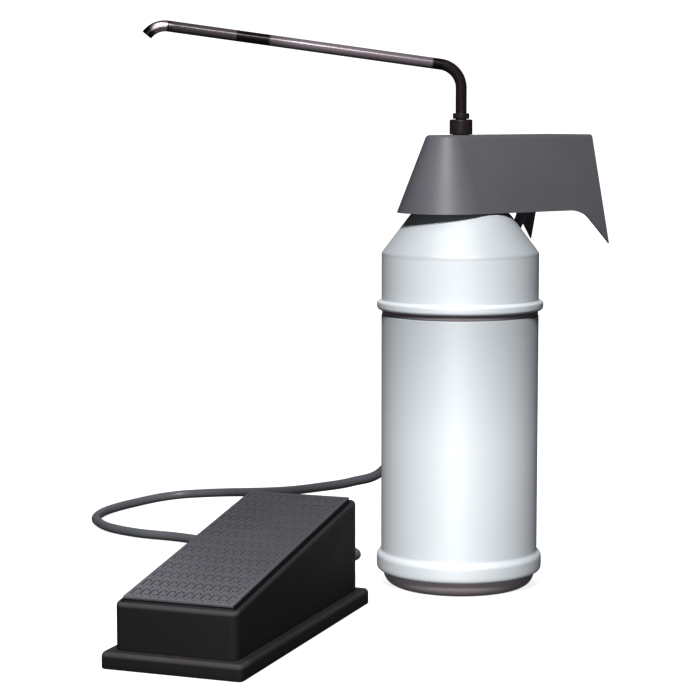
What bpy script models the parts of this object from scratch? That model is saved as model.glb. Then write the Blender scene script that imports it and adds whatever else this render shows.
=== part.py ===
"""Foot-operated soap dispenser: a wall head with a twist-off container, and a foot pedal that pumps air.

Metres, +Z up. The origin is on the container's axis, on the floor; -Y is the front, +Y the wall.
"""

import math

import bmesh
import bpy
import numpy as np
from mathutils import Matrix, Vector

# Driving sizes of the container
BODY_RADIUS = 0.045
BODY_RIM_HEIGHT = 0.1565
SHOULDER_STRAIGHT = 0.0324
CONE_TOP_RADIUS = 0.0284
CONE_RISE = 0.0219
NECK_HEIGHT = 0.0124

# Driving sizes of the head, its cover and the spout
WALL_DISTANCE = 0.0873
SPOUT_REACH = 0.178
SPOUT_STAND = 0.0384
SPOUT_RADIUS = 0.00315
SPOUT_SWING_DEG = -39.2

# Driving sizes of the pedal and its place on the floor
PEDAL_PLACE = (0.0219, -0.1714)
PEDAL_TURN_DEG = 30.46
FLANGE_WIDTH = 0.076
FLANGE_LENGTH = 0.180
TREAD_FRONT_HEIGHT = 0.0356
TREAD_SLOPE_DEG = 9.05
HOSE_RADIUS = 0.003

# Clearances and helpers' sizes
SEAT_GAP = 0.0003
CUT_OVERRUN = 0.002
MERGE_DISTANCE = 0.00001
SHARP_ANGLE_DEG = 40.0

# Container
BODY_WALL = 0.002
BODY_FOOT_INSET = 0.0043
LOWER_BEAD_PROUD = 0.0026
LOWER_BEAD_HEIGHT = 0.0105
LOWER_BEAD_SLOPE = 0.0014
UPPER_BEAD_PROUD = 0.0026
UPPER_BEAD_HEIGHT = 0.0056
UPPER_BEAD_SLOPE = 0.0011
CAP_HEIGHT = 0.0086
CAP_FLOOR_THICKNESS = 0.003
CAP_TOP_INSET = 0.0012
CAP_FOOT_INSET = 0.0068
CAP_BULGE_SHARE = 0.72
CAP_BULGE_HEIGHT_SHARE = 0.35
SEAL_THICKNESS = 0.0025
SPIGOT_DEPTH = 0.0085
SPIGOT_WALL = 0.0018
CONE_WALL = 0.0018
CROWN_INSET = 0.0026
CROWN_RISE = 0.0019
NECK_RADIUS = 0.014
NECK_WALL = 0.0025
LUG_PROUD = 0.0013
LUG_THICKNESS = 0.0025
LUG_WIDTH = 0.007
LUG_DROP = 0.0023

# Head
GASKET_THICKNESS = 0.0021
SKIRT_RADIUS = 0.019
SKIRT_BORE_RADIUS = 0.0162
SKIRT_DEPTH = 0.012
TAB_PROUD = 0.0016
TAB_THICKNESS = 0.0035
TAB_WIDTH = 0.012
HEAD_RADIUS = 0.012
HEAD_WAIST_RADIUS = 0.009
HEAD_WAIST_RISE = 0.020
HEAD_STEP = 0.005
SPIGOT_RADIUS = 0.0047
SPIGOT_LENGTH = 0.0115
DIP_SOCKET_DEPTH = 0.006
BALL_SEAT_RISE = 0.009
BALL_SEAT_RADIUS = 0.002
BALL_CHAMBER_RADIUS = 0.004
BALL_CHAMBER_DEPTH = 0.0093
BALL_RADIUS = 0.003
BALL_STOP_RADIUS = 0.0022
SPOUT_SOCKET_DEPTH = 0.0155
RING_RISE = 0.002
RING_THICKNESS = 0.00145
RING_GROOVE_SIDE_GAP = 0.0004
AIR_PORT_RISE = 0.0145
AIR_PORT_OFFSET = 0.008
AIR_BORE_RADIUS = 0.0015
FITTING_THREAD_RADIUS = 0.003
FITTING_THREAD_DEPTH = 0.0035
FITTING_NECK_RADIUS = 0.0042
FITTING_NECK_LENGTH = 0.0102
FITTING_BALL_RADIUS = 0.0052
FITTING_ARM_LENGTH = 0.0062
FITTING_TILT_DEG = 30.0
FITTING_YAW_DEG = 7.0
BARB_RADIUS = 0.0021
BARB_BORE_RADIUS = 0.0012
BARB_LENGTH = 0.0075
FERRULE_RADIUS = 0.0042
FERRULE_LENGTH = 0.009
VALVE_STEM_RADIUS = 0.0012
VALVE_STEM_LENGTH = 0.0035
VALVE_FLANGE_RADIUS = 0.0024
VALVE_FLANGE_THICKNESS = 0.0016
VALVE_BILL_LENGTH = 0.0065
VALVE_BILL_RADIUS = 0.0006
LOCK_NUT_RADIUS = 0.0065
LOCK_NUT_HEIGHT = 0.0085
COLLAR_RADIUS = 0.0047
COLLAR_HEIGHT = 0.0032

# Dip tube and strainer
DIP_RADIUS = 0.003
DIP_BORE_RADIUS = 0.002
DIP_FOOT_HEIGHT = 0.010
STRAINER_RADIUS = 0.0052
STRAINER_HEIGHT = 0.011
STRAINER_FLOOR = 0.0012
STRAINER_SLOT_WIDTH = 0.0016
STRAINER_SLOT_HEIGHT = 0.004
STRAINER_FOOT_GAP = 0.0005

# Cover and wall bracket
COVER_SHEET = 0.001
COVER_EDGE_RADIUS = 0.0014
COVER_RIM_GAP = 0.0012
COVER_TIP_DROP = 0.0198
COVER_NOSE_FORWARD = 0.0104
COVER_NOSE_RADIUS = 0.0118
COVER_NOSE_FLARE_SHARE = 0.381
COVER_REAR_HALF_WIDTH = 0.0182
COVER_WALL_FLARE_SHARE = 0.236
COVER_NOTCH_LENGTH = 0.0119
COVER_NOTCH_DROP = 0.0033
COVER_TIP_LENGTH = 0.0148
BRACKET_SHEET = 0.003
BRACKET_ARM_THICKNESS = 0.0032
BRACKET_ARM_HALF_WIDTH = 0.009
BRACKET_PLATE_HALF_WIDTH = 0.015
BRACKET_PLATE_HEIGHT = 0.0385
BRACKET_RIB_THICKNESS = 0.0025
BRACKET_RIB_LENGTH = 0.030
BRACKET_RIB_DEPTH = 0.022
WALL_HOLE_RADIUS = 0.0023
WALL_HOLE_INSET = 0.0045
WALL_HOLE_FOOT_INSET = 0.006
WALL_HOLE_TOP_INSET = 0.0105

# Spout
SPOUT_BORE_RADIUS = 0.0024
SPOUT_RISE_DEG = 7.9
SPOUT_DROP_DEG = 51.9
ELBOW_RADIUS = 0.0135
TIP_RADIUS = 0.0133
ELBOW_POINTS = 9
TIP_POINTS = 7

# Pedal base and housing
FLANGE_SIDE_MARGIN = 0.00525
FLANGE_END_MARGIN = 0.0058
TREAD_SIDE_GAP = 0.0012
TREAD_REAR_GAP = 0.0022
PAD_RADIUS = 0.006
PAD_THICKNESS = 0.0023
PAD_PROUD = 0.0006
PAD_SIDE_INSET = 0.014
PAD_END_INSET = 0.030
BASE_THICKNESS = 0.0082
BASE_CORNER_RADIUS = 0.0028
BASE_EDGE_RADIUS = 0.0016
HOUSING_WALL = 0.002
HOUSING_CORNER_RADIUS = 0.0045
HOUSING_EDGE_RADIUS = 0.0008
TREAD_STAND = 0.004
BOSS_SIDE = 0.0085
BOSS_OVERLAP = 0.0005
BOSS_HEIGHT = 0.012
SCREW_RADIUS = 0.0012
SCREW_LENGTH = 0.012
SCREW_HEAD_RADIUS = 0.0028
SCREW_HEAD_THICKNESS = 0.0018
SCREW_RECESS = 0.0026
GLAND_OFFSET = 0.016
GLAND_HEIGHT = 0.021
GLAND_STEM_RADIUS = 0.0037
GLAND_FLANGE_RADIUS = 0.006
GLAND_FLANGE_THICKNESS = 0.0026
GLAND_NOSE_RADIUS = 0.0044
GLAND_NOSE_LENGTH = 0.0055
GLAND_INNER_LENGTH = 0.0065
GLAND_NUT_RADIUS = 0.0058
GLAND_NUT_THICKNESS = 0.003

# Treadle, bellows and spring
MAT_THICKNESS = 0.0016
TREADLE_THICKNESS = 0.0042
TREADLE_REAR_INSET = 0.0012
PLATE_EDGE_RADIUS = 0.0005
PLATE_CORNER_RADIUS = 0.0008
PIN_SETBACK = 0.005
PIN_DROP = 0.0056
PIN_RADIUS = 0.002
PIN_END_DEPTH = 0.0009
BARREL_RADIUS = 0.0035
BARREL_INSET = 0.0012
BELLOWS_PLACE_SHARE = 0.375
BELLOWS_SIDE_GAP = 0.00725
BELLOWS_FOLD_DEPTH = 0.0038
BELLOWS_WALL = 0.0013
BELLOWS_FOLDS = 5
BELLOWS_PAD_INSET = 0.0065
SEAT_INSET = 0.001
SEAT_THICKNESS = 0.0058
SEAT_PLUG_INSET = 0.007
SEAT_PLUG_HEIGHT = 0.003
SEAT_NOZZLE_RADIUS = 0.0024
SEAT_NOZZLE_LENGTH = 0.005
SEAT_NOZZLE_TURN_DEG = 24.0
SEAT_PORT_PLACE = 0.011
SEAT_PORT_RADIUS = 0.0013
UMBRELLA_RADIUS = 0.006
UMBRELLA_THICKNESS = 0.0012
UMBRELLA_STEM_RADIUS = 0.0012
UMBRELLA_STEM_LENGTH = 0.0035
SPRING_PLACE_SHARE = 0.185
SPRING_RADIUS = 0.008
SPRING_WIRE_RADIUS = 0.0009
SPRING_TURNS = 6
SPRING_POINTS_PER_TURN = 8
SPRING_POST_RADIUS = 0.0062
SPRING_POST_HEIGHT = 0.004
SPRING_PAD_RADIUS = 0.0098
PEDAL_TUBE_RADIUS = 0.0024
PEDAL_TUBE_LEAD = 0.006
PEDAL_TUBE_POINTS = 12

# The hose's route from the head down behind the container, along the floor in one loop and round into
# the pedal's rear face. The falling part's heights are shares of the air port's height, and the rest
# is in world metres. The first and last stretches start at the fittings.
HOSE_LEAD = 0.006
HOSE_FALL = [
    (-0.0034, 0.0481, 0.932),
    (-0.0048, 0.0524, 0.901),
    (-0.0072, 0.0545, 0.868),
    (-0.0220, 0.0500, 0.752),
    (-0.0420, 0.0480, 0.612),
    (-0.0630, 0.0430, 0.461),
    (-0.0830, 0.0340, 0.319),
]
HOSE_ROUTE = [
    (-0.1017, 0.0264, 0.0487),
    (-0.1250, 0.0225, 0.0398),
    (-0.1618, 0.0230, 0.0310),
    (-0.2051, 0.0300, 0.0220),
    (-0.2536, 0.0340, 0.0140),
    (-0.2760, 0.0310, 0.0110),
    (-0.2930, 0.0240, 0.0088),
    (-0.3040, 0.0150, 0.0074),
    (-0.3090, 0.0021, 0.0064),
    (-0.3095, -0.0150, 0.0053),
    (-0.3066, -0.0349, 0.0043),
    (-0.3010, -0.0500, 0.0036),
    (-0.2877, -0.0650, 0.0032),
    (-0.2738, -0.0720, 0.0032),
    (-0.2532, -0.0764, 0.0032),
    (-0.2262, -0.0723, 0.0032),
    (-0.1990, -0.0600, 0.0032),
    (-0.1650, -0.0510, 0.0034),
    (-0.1300, -0.0480, 0.0052),
    (-0.0800, -0.0455, 0.0122),
    (-0.0504, -0.0445, 0.0166),
    (-0.0401, -0.0461, 0.0172),
    (-0.0323, -0.0506, 0.0177),
    (-0.0266, -0.0573, 0.0186),
    (-0.0205, -0.0676, 0.0200),
]
HOSE_POINTS = 78

# Facets round a full turn, rows on a ball and points along the short arcs
ROUND_LARGE = 40
ROUND_MEDIUM = 24
ROUND_SMALL = 16
ROUND_TINY = 12
RING_FACETS = 8
HEX_SIDES = 6
BALL_ROWS = 10
CORNER_STEPS = 4
PLATE_CORNER_STEPS = 2
EDGE_STEPS = 2
CAP_SIDE_POINTS = 5
ROUTE_STEPS = 24
NOSE_POINTS = 13
ARM_END_POINTS = 9
NOTCH_POINTS = 5

# Heights and places that follow from the sizes above
CAP_FOOT_RADIUS = BODY_RADIUS - CAP_FOOT_INSET
CAP_TOP_RADIUS = BODY_RADIUS - CAP_TOP_INSET
BODY_FOOT_RADIUS = BODY_RADIUS - BODY_FOOT_INSET
BODY_FOOT_HEIGHT = CAP_FLOOR_THICKNESS + SEAT_GAP
BEAD_FOOT_HEIGHT = CAP_HEIGHT + SEAT_GAP
BODY_BORE_RADIUS = BODY_RADIUS - BODY_WALL
SEAL_FOOT_HEIGHT = BODY_RIM_HEIGHT + SEAT_GAP
SHOULDER_FOOT_HEIGHT = SEAL_FOOT_HEIGHT + SEAL_THICKNESS + SEAT_GAP
SHOULDER_BREAK_HEIGHT = SHOULDER_FOOT_HEIGHT + SHOULDER_STRAIGHT
CONE_TOP_HEIGHT = SHOULDER_BREAK_HEIGHT + CONE_RISE
CROWN_HEIGHT = CONE_TOP_HEIGHT + CROWN_RISE
NECK_TOP_HEIGHT = CONE_TOP_HEIGHT + NECK_HEIGHT
NECK_BORE_RADIUS = NECK_RADIUS - NECK_WALL
HEAD_UNDERSIDE = NECK_TOP_HEIGHT + GASKET_THICKNESS + 2 * SEAT_GAP
SKIRT_FOOT_HEIGHT = HEAD_UNDERSIDE - SKIRT_DEPTH
LUG_TOP_HEIGHT = NECK_TOP_HEIGHT - LUG_DROP
TAB_TOP_HEIGHT = LUG_TOP_HEIGHT - LUG_THICKNESS - SEAT_GAP
HEAD_WAIST_HEIGHT = HEAD_UNDERSIDE + HEAD_WAIST_RISE
HEAD_TOP_HEIGHT = HEAD_WAIST_HEIGHT + HEAD_STEP
SPIGOT_TOP_HEIGHT = HEAD_TOP_HEIGHT + SPIGOT_LENGTH
SPOUT_SOCKET_HEIGHT = SPIGOT_TOP_HEIGHT - SPOUT_SOCKET_DEPTH
RING_HEIGHT = SPOUT_SOCKET_HEIGHT + RING_RISE
AIR_PORT_HEIGHT = HEAD_UNDERSIDE + AIR_PORT_RISE
DIP_TOP_HEIGHT = HEAD_UNDERSIDE + DIP_SOCKET_DEPTH
BALL_SEAT_HEIGHT = HEAD_UNDERSIDE + BALL_SEAT_RISE
BALL_CHAMBER_TOP = BALL_SEAT_HEIGHT + BALL_CHAMBER_DEPTH
BALL_REST_HEIGHT = BALL_SEAT_HEIGHT - BALL_SEAT_RADIUS + math.sqrt(2) * (BALL_RADIUS + SEAT_GAP)
BRACKET_ARM_UNDERSIDE = HEAD_TOP_HEIGHT + SEAT_GAP
BRACKET_TOP_HEIGHT = BRACKET_ARM_UNDERSIDE + BRACKET_ARM_THICKNESS
BRACKET_PLATE_FOOT_HEIGHT = BRACKET_TOP_HEIGHT - BRACKET_PLATE_HEIGHT
WALL_HOLE_HEIGHTS = (
    BRACKET_PLATE_FOOT_HEIGHT + WALL_HOLE_FOOT_INSET,
    BRACKET_TOP_HEIGHT - WALL_HOLE_TOP_INSET,
)
COVER_TOP_HEIGHT = BRACKET_TOP_HEIGHT + SEAT_GAP + COVER_SHEET
COVER_RIM_HEIGHT = CONE_TOP_HEIGHT + COVER_RIM_GAP
COVER_TIP_HEIGHT = COVER_RIM_HEIGHT - COVER_TIP_DROP
COVER_NOTCH_END = WALL_DISTANCE - COVER_TIP_LENGTH
COVER_NOTCH_START = COVER_NOTCH_END - COVER_NOTCH_LENGTH
SPOUT_CORNER_HEIGHT = COVER_TOP_HEIGHT + SPOUT_STAND
NUT_FOOT_HEIGHT = COVER_TOP_HEIGHT + SEAT_GAP
NUT_TOP_HEIGHT = NUT_FOOT_HEIGHT + LOCK_NUT_HEIGHT
COLLAR_FOOT_HEIGHT = NUT_TOP_HEIGHT + SEAT_GAP
ELBOW_CENTRE = (0.0, HEAD_RADIUS + SEAT_GAP + FITTING_NECK_LENGTH, AIR_PORT_HEIGHT)
FERRULE_START = FITTING_ARM_LENGTH + SEAT_GAP
RING_CENTRE_RADIUS = SPOUT_RADIUS + SEAT_GAP + RING_THICKNESS / 2
BASE_TOP = PAD_PROUD + BASE_THICKNESS
HOUSING_FOOT = BASE_TOP + SEAT_GAP
HOUSING_WIDTH = FLANGE_WIDTH - 2 * FLANGE_SIDE_MARGIN
HOUSING_LENGTH = FLANGE_LENGTH - 2 * FLANGE_END_MARGIN
HOUSING_REAR = HOUSING_LENGTH / 2
TREAD_WIDTH = HOUSING_WIDTH - 2 * (HOUSING_WALL + TREAD_SIDE_GAP)
TREAD_FRONT = HOUSING_WALL + TREAD_SIDE_GAP - HOUSING_REAR
TREAD_REAR = HOUSING_REAR - HOUSING_WALL - TREAD_REAR_GAP
TREAD_SLOPE = math.radians(TREAD_SLOPE_DEG)
PIN_PLACE = TREAD_FRONT + PIN_SETBACK
PIN_HEIGHT = TREAD_FRONT_HEIGHT + PIN_SETBACK * math.tan(TREAD_SLOPE) - PIN_DROP
SEAT_TOP = HOUSING_FOOT + SEAT_THICKNESS
BELLOWS_PLACE = TREAD_REAR * BELLOWS_PLACE_SHARE
BELLOWS_RADIUS = HOUSING_WIDTH / 2 - HOUSING_WALL - BELLOWS_SIDE_GAP
BELLOWS_TOP_RADIUS = BELLOWS_RADIUS - BELLOWS_FOLD_DEPTH
BELLOWS_PAD_RADIUS = BELLOWS_RADIUS - BELLOWS_PAD_INSET
SEAT_RADIUS = BELLOWS_RADIUS - SEAT_INSET
SEAT_PLUG_RADIUS = BELLOWS_RADIUS - SEAT_PLUG_INSET
SPRING_PLACE = TREAD_FRONT * SPRING_PLACE_SHARE


def tread_height(y):
    """Height of the mat's top surface at a place along the pedal."""
    return TREAD_FRONT_HEIGHT + (y - TREAD_FRONT) * math.tan(TREAD_SLOPE)


def under_treadle(y):
    """Height just below the treadle's underside at a place along the pedal."""
    return tread_height(y) - (MAT_THICKNESS + TREADLE_THICKNESS + 2 * SEAT_GAP) / math.cos(TREAD_SLOPE)


BELLOWS_TOP_HEIGHT = under_treadle(BELLOWS_PLACE - BELLOWS_TOP_RADIUS)
SPRING_TOP_HEIGHT = under_treadle(SPRING_PLACE - SPRING_PAD_RADIUS)


def clear_scene():
    for obj in list(bpy.data.objects):
        bpy.data.objects.remove(obj)


def new_collection(name, hidden):
    made = bpy.data.collections.new(name)
    bpy.context.scene.collection.children.link(made)
    made.hide_render = hidden
    return made


def make_material(name, color, roughness, metallic=0.0):
    made = bpy.data.materials.new(name)
    made.use_nodes = True
    shader = made.node_tree.nodes["Principled BSDF"]
    shader.inputs["Base Color"].default_value = (*color, 1.0)
    shader.inputs["Roughness"].default_value = roughness
    shader.inputs["Metallic"].default_value = metallic
    made.diffuse_color = (*color, 1.0)
    return made


def place(obj, collection, material=None, parent=None):
    for owner in list(obj.users_collection):
        owner.objects.unlink(obj)
    collection.objects.link(obj)
    if material:
        obj.data.materials.append(material)
    if parent:
        obj.parent = parent
    if collection is cutters:
        obj.hide_render = True
        obj.display_type = "WIRE"
    return obj


def mesh_object(name, bm):
    mesh = bpy.data.meshes.new(name)
    bm.to_mesh(mesh)
    bm.free()
    return bpy.data.objects.new(name, mesh)


def turned(name, profile, sides, closed=False):
    """A profile of (radius, height) points, run down its outer side, turned about Z."""
    bm = bmesh.new()
    points = [bm.verts.new((radius, 0.0, height)) for radius, height in profile]
    for first, second in zip(points, points[1:]):
        bm.edges.new((first, second))
    if closed:
        bm.edges.new((points[-1], points[0]))
    obj = mesh_object(name, bm)
    screw = obj.modifiers.new("turn", "SCREW")
    screw.steps = sides
    screw.render_steps = sides
    screw.use_merge_vertices = True
    screw.merge_threshold = MERGE_DISTANCE
    screw.use_smooth_shade = True
    return obj


def ring(name, outer, inner, low, high, sides):
    return turned(name, [(outer, high), (outer, low), (inner, low), (inner, high)], sides, True)


def rod(name, radius, low, high, sides):
    return turned(name, [(0.0, high), (radius, high), (radius, low), (0.0, low)], sides)


def box(name, low, high):
    """A box between two corners, its origin at its middle."""
    low, high = Vector(low), Vector(high)
    bm = bmesh.new()
    bmesh.ops.create_cube(bm, size=1.0)
    bmesh.ops.scale(bm, vec=high - low, verts=bm.verts)
    obj = mesh_object(name, bm)
    obj.location = (low + high) / 2
    return obj


def slab(name, outline, low, high):
    """A flat outline of (x, y) points raised from one height to another."""
    bm = bmesh.new()
    face = bm.faces.new([bm.verts.new((x, y, low)) for x, y in outline])
    raised = bmesh.ops.extrude_face_region(bm, geom=[face])["geom"]
    moved = [item for item in raised if isinstance(item, bmesh.types.BMVert)]
    bmesh.ops.translate(bm, vec=(0.0, 0.0, high - low), verts=moved)
    bmesh.ops.recalc_face_normals(bm, faces=bm.faces)
    return mesh_object(name, bm)


def sloped_top(obj, top, drop):
    """Moves a slab's top onto the plane that lies drop below the tread."""
    for point in obj.data.vertices:
        if math.isclose(point.co.z, top, abs_tol=MERGE_DISTANCE):
            point.co.z = tread_height(point.co.y) - drop
    return obj


def rounded_rectangle(x_low, y_low, x_high, y_high, radius, steps=CORNER_STEPS):
    points = []
    corners = [(x_high, y_high, 0), (x_low, y_high, 1), (x_low, y_low, 2), (x_high, y_low, 3)]
    for x, y, quarter in corners:
        centre_x = x - math.copysign(radius, x - (x_low + x_high) / 2)
        centre_y = y - math.copysign(radius, y - (y_low + y_high) / 2)
        for step in range(steps + 1):
            angle = (quarter + step / steps) * math.pi / 2
            points.append((centre_x + radius * math.cos(angle), centre_y + radius * math.sin(angle)))
    return points


def tube(name, points, radius, resolution=2):
    """A round tube along points, as a mesh with closed ends."""
    curve = bpy.data.curves.new(name, "CURVE")
    curve.dimensions = "3D"
    curve.bevel_depth = radius
    curve.bevel_resolution = resolution
    curve.use_fill_caps = True
    spline = curve.splines.new("POLY")
    spline.points.add(len(points) - 1)
    for point, place_at in zip(spline.points, points):
        point.co = (*place_at, 1.0)
    guide = bpy.data.objects.new(name + "_guide", curve)
    bpy.context.scene.collection.objects.link(guide)
    graph = bpy.context.evaluated_depsgraph_get()
    mesh = bpy.data.meshes.new_from_object(guide.evaluated_get(graph))
    bpy.data.objects.remove(guide)
    bm = bmesh.new()
    bm.from_mesh(mesh)
    bmesh.ops.remove_doubles(bm, verts=bm.verts, dist=MERGE_DISTANCE)
    bmesh.ops.recalc_face_normals(bm, faces=bm.faces)
    bm.to_mesh(mesh)
    bm.free()
    return bpy.data.objects.new(name, mesh)


def combine(obj, other, operation, parent=None):
    place(other, cutters, parent=parent)
    step = obj.modifiers.new(other.name, "BOOLEAN")
    step.operation = operation
    step.solver = "EXACT"
    step.object = other
    return obj


def cut(obj, other, parent=None):
    return combine(obj, other, "DIFFERENCE", parent)


def add(obj, other, parent=None):
    return combine(obj, other, "UNION", parent)


def round_edges(obj, width):
    bevel = obj.modifiers.new("edges", "BEVEL")
    bevel.width = width
    bevel.segments = EDGE_STEPS
    bevel.limit_method = "ANGLE"
    bevel.angle_limit = math.radians(SHARP_ANGLE_DEG)
    return obj


def smooth_path(route, count):
    """Points at even steps along a smooth curve through the route's points."""
    route = np.array(route)
    steps = np.sqrt(np.linalg.norm(np.diff(route, axis=0), axis=1))
    knots = np.concatenate([[0.0], np.cumsum(steps)])
    slopes = np.gradient(route, knots, axis=0)
    fine = []
    for index in range(len(route) - 1):
        span = knots[index + 1] - knots[index]
        for share in np.linspace(0, 1, ROUTE_STEPS, endpoint=False):
            square, cube = share**2, share**3
            fine.append(
                (2 * cube - 3 * square + 1) * route[index]
                + (cube - 2 * square + share) * span * slopes[index]
                + (3 * square - 2 * cube) * route[index + 1]
                + (cube - square) * span * slopes[index + 1]
            )
    fine = np.array([*fine, route[-1]])
    along = np.concatenate([[0.0], np.cumsum(np.linalg.norm(np.diff(fine, axis=0), axis=1))])
    even = np.linspace(0, along[-1], count)
    return np.stack([np.interp(even, along, fine[:, axis]) for axis in range(3)], axis=1)


def make_base_cap():
    side = []
    for share in np.linspace(0, 1, CAP_SIDE_POINTS):
        angle = share * math.pi / 2
        side.append((
            CAP_FOOT_RADIUS + (CAP_TOP_RADIUS - CAP_FOOT_RADIUS) * math.cos(angle) ** CAP_BULGE_SHARE,
            CAP_HEIGHT * (1 - math.sin(angle) ** (1 + CAP_BULGE_HEIGHT_SHARE)),
        ))
    inner = BODY_FOOT_RADIUS + SEAT_GAP
    profile = [*side, (0.0, 0.0)]
    recess = [(0.0, CAP_FLOOR_THICKNESS), (inner, CAP_FLOOR_THICKNESS), (inner, CAP_HEIGHT)]
    return turned("container_base_cap", recess + profile, ROUND_LARGE)


def make_container_body():
    bead_radius = BODY_RADIUS + LOWER_BEAD_PROUD
    bead_top = BEAD_FOOT_HEIGHT + LOWER_BEAD_HEIGHT
    profile = [
        (0.0, BODY_FOOT_HEIGHT + BODY_WALL),
        (BODY_FOOT_RADIUS - BODY_WALL, BODY_FOOT_HEIGHT + BODY_WALL),
        (BODY_BORE_RADIUS, BEAD_FOOT_HEIGHT + BODY_WALL),
        (BODY_BORE_RADIUS, BODY_RIM_HEIGHT),
        (BODY_RADIUS, BODY_RIM_HEIGHT),
        (BODY_RADIUS, bead_top),
        (bead_radius, bead_top - LOWER_BEAD_SLOPE),
        (bead_radius, BEAD_FOOT_HEIGHT + LOWER_BEAD_SLOPE),
        (bead_radius - LOWER_BEAD_SLOPE, BEAD_FOOT_HEIGHT),
        (BODY_FOOT_RADIUS, BEAD_FOOT_HEIGHT),
        (BODY_FOOT_RADIUS, BODY_FOOT_HEIGHT),
        (0.0, BODY_FOOT_HEIGHT),
    ]
    return turned("container_body", profile, ROUND_LARGE)


def make_container_seal():
    high = SEAL_FOOT_HEIGHT + SEAL_THICKNESS
    return ring("container_seal", BODY_RADIUS, BODY_BORE_RADIUS, SEAL_FOOT_HEIGHT, high, ROUND_LARGE)


def make_container_shoulder():
    bead_radius = BODY_RADIUS + UPPER_BEAD_PROUD
    bead_top = SHOULDER_FOOT_HEIGHT + UPPER_BEAD_HEIGHT
    spigot_radius = BODY_BORE_RADIUS - SEAT_GAP
    spigot_foot = BODY_RIM_HEIGHT - SPIGOT_DEPTH
    crown_radius = CONE_TOP_RADIUS - CROWN_INSET
    profile = [
        (NECK_RADIUS, NECK_TOP_HEIGHT),
        (NECK_RADIUS, CROWN_HEIGHT),
        (crown_radius, CROWN_HEIGHT),
        (CONE_TOP_RADIUS, CONE_TOP_HEIGHT),
        (BODY_RADIUS, SHOULDER_BREAK_HEIGHT),
        (BODY_RADIUS, bead_top),
        (bead_radius, bead_top - UPPER_BEAD_SLOPE),
        (bead_radius, SHOULDER_FOOT_HEIGHT + UPPER_BEAD_SLOPE),
        (bead_radius - UPPER_BEAD_SLOPE, SHOULDER_FOOT_HEIGHT),
        (spigot_radius, SHOULDER_FOOT_HEIGHT),
        (spigot_radius, spigot_foot),
        (spigot_radius - SPIGOT_WALL, spigot_foot),
        (spigot_radius - SPIGOT_WALL, SHOULDER_FOOT_HEIGHT),
        (BODY_RADIUS - CONE_WALL, bead_top),
        (BODY_RADIUS - CONE_WALL, SHOULDER_BREAK_HEIGHT - CONE_WALL / 2),
        (CONE_TOP_RADIUS - CONE_WALL, CONE_TOP_HEIGHT - CONE_WALL),
        (NECK_BORE_RADIUS, CONE_TOP_HEIGHT - CONE_WALL),
        (NECK_BORE_RADIUS, NECK_TOP_HEIGHT),
    ]
    shoulder = turned("container_shoulder", profile, ROUND_LARGE, True)
    for side in (-1, 1):
        reach = (NECK_RADIUS + LUG_PROUD) * side
        root = (NECK_RADIUS - NECK_WALL / 2) * side
        low = (min(root, reach), -LUG_WIDTH / 2, LUG_TOP_HEIGHT - LUG_THICKNESS)
        high = (max(root, reach), LUG_WIDTH / 2, LUG_TOP_HEIGHT)
        add(shoulder, box("lug_shape", low, high))
    return shoulder


def make_neck_gasket():
    low = NECK_TOP_HEIGHT + SEAT_GAP
    return ring("neck_gasket", NECK_RADIUS, NECK_BORE_RADIUS, low, low + GASKET_THICKNESS, ROUND_MEDIUM)


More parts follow.
